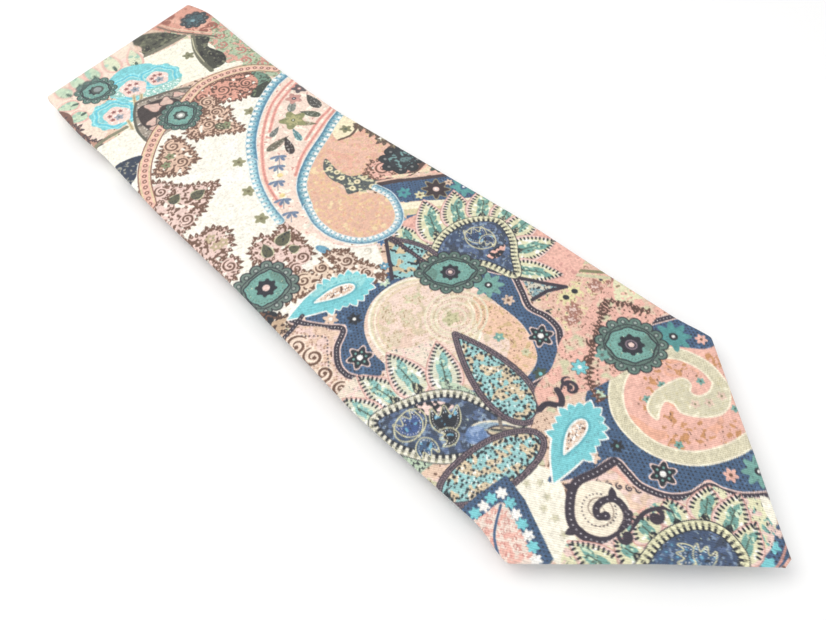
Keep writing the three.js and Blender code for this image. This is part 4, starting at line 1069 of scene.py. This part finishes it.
def paint_cloth():
    """All of the print, later motifs over earlier ones, then a slight haze and a grain."""
    paint_ground()
    paint_upper()
    paint_far()
    paint_middle()
    paint_beads()
    paint_tip()
    paint_lower()
    paint_corner()
    cloth[:] += HAZE * (np.array(HAZE_COLOUR) - cloth)
    cloth[:] *= (1 + 0.035 * FIELDS["grain"] + 0.02 * FIELDS["speck"])[..., None]


def swatch(width):
    """The print averaged over squares of width cells, each the cloth that one mesh point covers."""
    total = np.cumsum(np.cumsum(np.pad(cloth, ((1, 0), (1, 0), (0, 0))), axis=0, dtype=np.float64), axis=1)
    rows, cols = ROWS - width + 1, COLS - width + 1
    block = total[width:, width:] + total[:rows, :cols] - total[width:, :cols] - total[:rows, width:]
    return (block / width**2).astype(np.float32)


def linear(value):
    """Linear light from the screen values that the print's colours are given in."""
    return np.where(value <= 0.04045, value / 12.92, ((value + 0.055) / 1.055) ** 2.4)


def print_colour(aside, along, width):
    """Linear colour of the print at points of the strip. Past the far fold the print turns back on itself."""
    picture = swatch(width)
    span = FAR_MIRROR - NEAR_MIRROR
    turned = (along - NEAR_MIRROR) % (2 * span)
    v = np.where(along > FAR_MIRROR, NEAR_MIRROR + np.where(turned < span, turned, 2 * span - turned), along)
    v = v + slant(aside, v)
    shift = (width - 1) / 2
    c = np.clip((aside - U_LOW) / CELL - shift, 0, picture.shape[1] - 1.001)
    r = np.clip((v - V_LOW) / CELL - shift, 0, picture.shape[0] - 1.001)
    c0, r0 = c.astype(int), r.astype(int)
    fc, fr = (c - c0)[..., None], (r - r0)[..., None]
    near = picture[r0, c0] * (1 - fc) + picture[r0, c0 + 1] * fc
    far = picture[r0 + 1, c0] * (1 - fc) + picture[r0 + 1, c0 + 1] * fc
    return linear(np.clip((near * (1 - fr) + far * fr) / 255.0, 0, 1))


# ---- The strip's path, from the CAD: four straight layers and three round folds.
def low(node, axis):
    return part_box(node)[0][axis] / MM


def high(node, axis):
    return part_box(node)[1][axis] / MM


HALF = 0.85                       # half of one folded, lined layer
TIP = low("front_blade_shell", 1)
FAR_FOLD = high("front_blade_shell", 1)
NEAR_FOLD = low("neck_shell_front", 1)
TAIL_FOLD = high("rear_shank_shell", 1)
TAIL_TIP = low("tail_blade_shell", 1)
LEVELS = (high("front_blade_shell", 2) - HALF, 5.75, 3.65, 0.85)     # the layers' middles above the table
FAR_MIRROR, NEAR_MIRROR = 366.0, 70.0                                # where the hidden print turns back

# way is 1 where the strip leaves the tip face up, and -1 where it comes back face down. A round fold has a
# radius and the y and z of its centre; a flat layer has none, and the y and z of where it starts.
Stretch = namedtuple("Stretch", "length y z way radius")


def plan():
    """The strip's stretches, in order."""
    stretches, y = [], TIP
    for n, fold in enumerate((FAR_FOLD, NEAR_FOLD, TAIL_FOLD)):
        way = -1 if n % 2 else 1
        radius = (LEVELS[n] - LEVELS[n + 1]) / 2
        centre = fold - way * (radius + HALF)
        stretches.append(Stretch(abs(centre - y), y, LEVELS[n], way, None))
        stretches.append(Stretch(np.pi * radius, centre, (LEVELS[n] + LEVELS[n + 1]) / 2, way, radius))
        y = centre
    return stretches + [Stretch(abs(y - TAIL_TIP), y, LEVELS[-1], -1, None)]


PLAN = plan()
STARTS = np.concatenate([[0], np.cumsum([part.length for part in PLAN])])
LENGTH = STARTS[-1]


def midline(along):
    """y and z of the layer's middle, and the way its face looks (y, z), at distances along the strip."""
    y, z, ny, nz = (np.zeros_like(along) for _ in range(4))
    for n, part in enumerate(PLAN):
        inside = (along >= STARTS[n]) & ((along < STARTS[n + 1]) | (n == len(PLAN) - 1))
        run = along[inside] - STARTS[n]
        if part.radius is None:
            y[inside], z[inside], nz[inside] = part.y + part.way * run, part.z, part.way
        else:
            turn = run / part.radius
            y[inside] = part.y + part.way * part.radius * np.sin(turn)
            z[inside] = part.z + part.radius * np.cos(turn)
            ny[inside], nz[inside] = np.sin(turn), part.way * np.cos(turn)
    return y, z, ny, nz


FOLD_1, FOLD_2, FOLD_3 = STARTS[2], STARTS[4], STARTS[6]     # where each fold ends
BLADE_CORNER, BLADE_HALF, FAR_HALF = 59.2, 54.93, 46
TAIL_POINT, TAIL_HALF = 28.0, high("tail_blade_shell", 0)
TIP_ANGLE = np.radians(42)
HEM = 11.0                                                   # cloth turned in round the tips
SPLIT = FAR_FOLD - TIP - 12.0                                # blade piece to shank piece
FRONT_PIECING_Y, REAR_PIECING_Y = 11.0, 39.0
FRONT_PIECING = FOLD_1 + PLAN[2].y - FRONT_PIECING_Y
REAR_PIECING = FOLD_2 + REAR_PIECING_Y - PLAN[4].y
HALF_WIDTHS = [(0, 1.6), (BLADE_CORNER, BLADE_HALF), (366, FAR_HALF), (FOLD_2 - 1.5, 23),
               ((FOLD_2 + FOLD_3) / 2, 20), (FOLD_3 - 2, 21), (LENGTH - TAIL_POINT, TAIL_HALF), (LENGTH, 1.0)]
# How far each edge of the blade strays to the right of a straight line, (along, millimetres).
LEAN_LEFT = [(0, 1.6), (40, 0), (62, -1.2), (72, 1.4), (131, -0.9), (166, 0.6), (199, 1.7), (263, 1.6),
             (308, 3.4), (328, 2.4), (347, 3.0), (361, 4.6), (368, 4.8), (400, 0)]
LEAN_RIGHT = [(0, 1.6), (40, 1.4), (62, 1.4), (72, 0), (137, 1.9), (168, 1.3), (189, 0.4), (212, -0.7),
              (253, -1.4), (279, 0.1), (311, 3.2), (336, 6.2), (350, 8.0), (360, 6.6), (368, 4.6), (400, 0)]


def eased(along, table, reach=1.2):
    """table's value, rounded over reach millimetres at its corners."""
    x, value = np.array(table, float).T
    steps = np.linspace(-1, 1, 9)
    weights = (1 - steps**2) + 0.05
    return sum(w * np.interp(along + reach * s, x, value) for s, w in zip(steps, weights)) / weights.sum()


def edges(along):
    half = eased(along, HALF_WIDTHS)
    return -half + eased(along, LEAN_LEFT, 6.0), half + eased(along, LEAN_RIGHT, 6.0)


def smoothstep(x):
    x = np.clip(x, 0, 1)
    return x * x * (3 - 2 * x)


def slant(aside, place):
    """How far the cloth is shifted along the tie: the far fold does not run square across."""
    steepness, pivot = 0.165, -22
    return steepness * (aside - pivot) * smoothstep((place - 230) / 130)


def droop(aside, along):
    """How far the front blade sinks where no layer lies under it, with the cloth's slight unevenness."""
    stack = np.interp(along, (32, 366), (25.5, 46.5))              # half-width of the layers under the blade
    beside = np.maximum(np.abs(aside) - stack, 0)
    beyond = np.maximum(NEAR_FOLD - TIP + 1.0 - along, 0)
    edge_sink = 2.6 * beside / (beside + 20)
    tip_sink = 1.1 * (1 - 1 / (1 + (beyond / 16.0) ** 2))
    wave = 0.22 * np.sin(along / 23.0 + aside / 31.0) + 0.16 * np.sin(along / 11.0 - aside / 17.0 + 1.0)
    return (edge_sink + tip_sink) * (1 - smoothstep((along - 300) / 50)) + wave * (
        1 - smoothstep((along - 315) / 30))


def placed(aside, along, out):
    """Points in metres: out is the distance from the layer's middle towards the face."""
    y, z, ny, nz = midline(along)
    z = z + nz * out
    z = z - np.where(along < STARTS[1], droop(aside, along), 0)
    y = y + ny * out
    return np.stack([aside, y + slant(aside, y - TIP), z], -1) * MM


# ---- Meshes.
def quads_of(rows, cols):
    index = np.arange(rows * cols).reshape(rows, cols)
    return np.stack([index[:-1, :-1], index[:-1, 1:], index[1:, 1:], index[1:, :-1]], -1).reshape(-1, 4)


def new_piece(name, points, quads):
    mesh = bpy.data.meshes.new(name)
    mesh.vertices.add(points.size // 3)
    mesh.vertices.foreach_set("co", points.astype(np.float32).ravel())
    mesh.loops.add(quads.size)
    mesh.loops.foreach_set("vertex_index", quads.astype(np.int32).ravel())
    mesh.polygons.add(len(quads))
    mesh.polygons.foreach_set("loop_start", np.arange(0, quads.size, 4, dtype=np.int32))
    mesh.polygons.foreach_set("use_smooth", np.ones(len(quads), bool))
    mesh.update(calc_edges=True)
    piece = bpy.data.objects.new(name, mesh)
    bpy.context.scene.collection.objects.link(piece)
    return piece


def area_of(points):
    a, b = points[1:, :-1] - points[:-1, :-1], points[:-1, 1:] - points[:-1, :-1]
    return float(np.linalg.norm(np.cross(a, b), axis=-1).sum())


def cloth_piece(name, points, aside, along, colours=None):
    """A sheet from a grid of points, each marked with its place on the cloth, and the sheet's area."""
    piece = new_piece(name, points, quads_of(*points.shape[:2]))
    place = piece.data.attributes.new("cloth", "FLOAT_VECTOR", "POINT")
    place.data.foreach_set("vector", np.stack([aside, along, 0 * aside], -1).astype(np.float32).ravel())
    if colours is not None:
        layer = piece.data.color_attributes.new("print", "FLOAT_COLOR", "POINT")
        four = np.concatenate([colours, np.ones_like(colours[..., :1])], -1)
        layer.data.foreach_set("color", four.astype(np.float32).ravel())
    return piece, area_of(points)


def finished(piece, material, nodes, body=None):
    piece.data.materials.append(material)
    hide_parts(*nodes)
    if body:
        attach(piece, body)


# ---- The printed silk: three pieces, with the blade's a separate one from just before the far fold.
SEAM_SLOT = 0.3          # half the gap between the two flaps at the back
ROLL_STEPS = 7
FLAP_GAP = 1.3
LIP = 0.02
LEAN_REACH = 60          # how far from a piecing seam its slant is felt


def silk(name, start, end, gap=0.75, cells=5, lean_start=0.0, lean_end=0.0, opening=None):
    """A length of the folded strip: its face, two rolled edges, and two back flaps that meet at the seam.

    gap is the distance between its points, and cells how many cells of the print each of them covers.
    """
    base = np.linspace(start, end, int((end - start) / gap) + 1)[:, None]
    left, right = edges(base)
    slot = np.maximum(opening(base), SEAM_SLOT) if opening else np.full_like(base, SEAM_SLOT)
    steepness = np.gradient(right[:, 0], base[:, 0])[:, None]
    roll = np.minimum(HALF * np.sqrt(1 + steepness**2), 0.42 * (right - left))
    from_end = np.clip(np.minimum(base, LENGTH - base) / HALF, 0, 1)
    full = HALF * np.sqrt(np.clip(1 - (1 - from_end) ** 2, 0.0004, 1))
    widest = float((right - left).max())
    face = np.linspace(0, 1, int(widest / gap) + 1)[None, 1:-1]
    flap = np.linspace(0, 1, max(8, int(widest / 2 / FLAP_GAP)))[None, 1:]
    turn = np.linspace(-np.pi / 2, np.pi / 2, ROLL_STEPS)[None]
    outer_left, outer_right = left + roll, right - roll
    inner_left, inner_right = np.maximum(-slot, outer_left), np.minimum(slot, outer_right)
    aside = np.concatenate([
        inner_left - LIP, inner_left, inner_left,
        inner_left + (outer_left - inner_left) * flap,
        outer_left - roll * np.cos(turn),
        outer_left + (outer_right - outer_left) * face,
        outer_right + roll * np.cos(turn[:, ::-1]),
        outer_right + (inner_right - outer_right) * flap,
        inner_right, inner_right, inner_right + LIP], axis=1)
    lip = [-0.45 * full, -0.62 * full, -0.93 * full]
    back, edge = -full * np.ones_like(flap), full * np.sin(turn)
    front = full * np.ones_like(face)
    out = np.concatenate([*lip, back, edge, front, edge[:, ::-1], back, *lip[::-1]], axis=1)
    lead, trail = smoothstep(1 - (base - start) / LEAN_REACH), smoothstep(1 - (end - base) / LEAN_REACH)
    along = base + aside * (lean_start * lead + lean_end * trail)
    return cloth_piece(name, placed(aside, along, out), aside, along, print_colour(aside, along, cells))


def kite(tip, corner, half, seam):
    """The half-width of the opening in the back at each distance from the tip; the seam starts at its end."""
    def opening(along):
        from_tip = np.abs(along - tip)
        edge = np.interp(from_tip, (0, corner), (0, half)) - HEM / np.cos(TIP_ANGLE)
        above = (half - HEM) * (seam - from_tip) / (seam - corner - 3.0)
        return np.clip(np.minimum(edge, above), 0, None)
    return opening


FRONT_OPENING = kite(0.0, BLADE_CORNER, 55.0, 128.0)
TAIL_OPENING = kite(LENGTH, TAIL_POINT, 26.0, 72.0)


def make_silks(printed):
    fine, cells = ((0.36, 2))
    blade, blade_area = silk("blade_silk", 0.0, SPLIT, fine, cells, opening=FRONT_OPENING)
    shank, shank_area = silk("shank_silk", SPLIT, FRONT_PIECING, lean_end=-1.0)
    neck, neck_area = silk("neck_silk", FRONT_PIECING, REAR_PIECING, lean_start=-1.0, lean_end=1.0)
    tail, tail_area = silk("tail_silk", REAR_PIECING, LENGTH, lean_start=1.0, opening=TAIL_OPENING)
    finished(blade, printed, ["front_blade_shell"], "front_blade")
    finished(shank, printed, ["front_shank_shell"])
    finished(neck, printed, ["neck_shell_front", "neck_shell_rear"])
    finished(tail, printed, ["rear_shank_shell", "tail_blade_shell"])
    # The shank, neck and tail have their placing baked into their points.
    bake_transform(shank)
    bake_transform(neck)
    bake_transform(tail)


# ---- Inside and on the back.
def make_canvases(wool):
    """The interlining: a strip inside each layer, short of the folds so that it can't cross itself there."""
    inset, gap = 1.4, 2.0
    for body, start, end, width in (("front_blade", 3.0, STARTS[1] - 14.0, 0.112),
                                    ("front_shank", FOLD_1 + 8.0, STARTS[3] - 2.0, 0.096),
                                    ("rear_shank", FOLD_2 + 2.0, STARTS[5] - 2.0, 0.06),
                                    ("tail_blade", FOLD_3 + 2.0, LENGTH - 3.0, 0.06)):
        base = np.linspace(start, end, int((end - start) / gap) + 1)[:, None]
        left, right = edges(base)
        share = np.linspace(0, 1, 41)[None]
        aside = np.minimum(left + inset, -0.4) * (1 - share) + np.maximum(right - inset, 0.4) * share
        along = base + 0 * aside
        piece, area = cloth_piece(f"{body}_canvas", placed(aside, along, 0 * aside), aside, along)
        finished(piece, wool, [f"{body}_interlining"], body)


def make_tippings(navy):
    """Satin sheets behind the openings at both tips, tucked under the hem all round."""
    for node, body, start, end, opening, flat in (
            ("front_tipping", "front_blade", 13.0, 131.0, FRONT_OPENING, (0.088, 0.119)),
            ("tail_tipping", "tail_blade", LENGTH - 75.0, LENGTH - 13.0, TAIL_OPENING, (0.042, 0.064))):
        base = np.linspace(start, end, int((end - start) / 1.2) + 1)[:, None]
        aside = (opening(base) + 3.0) * np.linspace(-1, 1, 61)[None]
        along = base + 0 * aside
        puff = 0.12 * np.sin(along / 7.0) * np.cos(aside / 9.0)
        piece, area = cloth_piece(f"{node}_satin", placed(aside, along, puff - 0.42), aside, along)
        finished(piece, navy, [node], body)


def patch(name, node, turned, bulge, printed=False):
    """A label or band: a flat strip where the CAD has it, with its long edges turned under."""
    (x0, y0, z0), (x1, y1, z1) = (np.array(corner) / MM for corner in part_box(node))
    across = np.linspace(-1, 1, int((x1 - x0) / 0.5) + 1)[None]
    turn = np.linspace(np.pi * 0.5, -np.pi * 0.5, 7)
    thick = (z1 - z0) / 2
    rim_y = np.concatenate([[y1 - turned], y1 - thick + thick * np.cos(turn)[::-1]])
    rim_z = np.concatenate([[1.0], np.sin(turn)])
    inner = np.linspace(y1 - thick, y0 + thick, int((y1 - y0) / 0.5) + 1)[1:-1]
    ys = np.concatenate([rim_y, inner, (y0 + y1) - rim_y[::-1]])[:, None]
    zs = np.concatenate([rim_z, -np.ones(len(inner)), rim_z[::-1]])[:, None]
    x = (x0 + x1) / 2 + (x1 - x0) / 2 * across + 0 * ys
    y = ys + 0 * x
    z = (z0 + z1) / 2 + 0.92 * thick * zs - bulge * (1 - across**2) ** 2
    x, y, z = x[:, ::-1], y[:, ::-1], z[:, ::-1]
    colours = print_colour(x, y - TIP + 60, 2) if printed else None
    return cloth_piece(name, np.stack([x, y, z], -1) * MM, x, y, colours)


def make_labels(satin, printed):
    label, label_area = patch("woven_label", "blank_label", 1.5, 0.05)
    care, care_area = patch("care_label", "blank_care_label", 1.2, 0.05)
    keeper, keeper_area = patch("keeper_band", "keeper_loop", 3.0, 0.1, True)
    finished(label, satin, ["blank_label"], "front_blade")
    finished(care, satin, ["blank_care_label"], "front_blade")
    finished(keeper, printed, ["keeper_loop"], "front_blade")


def stitches(name, start, end):
    """Slip stitches: short slanting threads that cross the back's seam."""
    gap, reach, lift, radius = 4.6, 0.75, 0.08, 0.16
    t = np.linspace(-1, 1, 7)[:, None]
    turn = np.linspace(0, 2 * np.pi, 7)
    threads = []
    for n, place in enumerate(np.arange(start, end, gap)):
        wobble = 0.25 * np.sin(2.3 * n)
        aside = reach * t + wobble * 0.3 + 0 * turn
        along = place + 0.8 * t + wobble + radius * np.cos(turn)
        out = -(HALF + lift) + 0.3 * t**4 + radius * np.sin(turn)
        threads.append(placed(aside, along, out))
    quads = quads_of(*threads[0].shape[:2])
    quads = np.concatenate([quads + n * threads[0].size // 3 for n in range(len(threads))])
    return new_piece(name, np.concatenate(threads), quads)


def make_stitching(thread):
    for node, body, start, end in (("front_slip_stitch", "front_blade", 131.0, SPLIT + 6.0),
                                   ("front_shank_slip_stitch", "front_shank", FOLD_1 + 5.0, STARTS[3] - 5.0),
                                   ("rear_shank_slip_stitch", "rear_shank", FOLD_2 + 5.0, STARTS[5] - 5.0),
                                   ("tail_slip_stitch", "tail_blade", FOLD_3 + 5.0, LENGTH - 74.0)):
        finished(stitches(f"{node}es", start, end), thread, [node], body)
    for name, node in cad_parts.items():
        if "tack" in name or "piecing" in name or "loop" in name and "keeper" not in name:
            node.data.materials.clear()
            node.data.materials.append(thread)


def make_tie():
    printed = cloth_material("printed_silk")
    navy = cloth_material("navy_tipping", (0.028, 0.036, 0.075), pitch=0.3, twist=0.2, depth=0.15, fuzz=1.2,
                          roughness=0.32, sheen=0.15, specular=0.5, low=0.85, high=1.15)
    wool = cloth_material("wool_canvas", (0.72, 0.66, 0.54), pitch=0.8, twist=1.0, depth=0.7, fuzz=2.0,
                          roughness=0.95, sheen=0.1, specular=0.1, low=0.75, high=1.1)
    satin = cloth_material("label_satin", (0.84, 0.8, 0.71), pitch=0.35, twist=0.1, depth=0.3, fuzz=1.5,
                           roughness=0.35, sheen=0.2, specular=0.5, low=0.92, high=1.04)
    thread = thread_material("thread", (0.04, 0.045, 0.075))
    make_canvases(wool)
    make_silks(printed)
    make_tippings(navy)
    make_labels(satin, printed)
    make_stitching(thread)


make_camera()
make_stage()
paint_cloth()
make_tie()
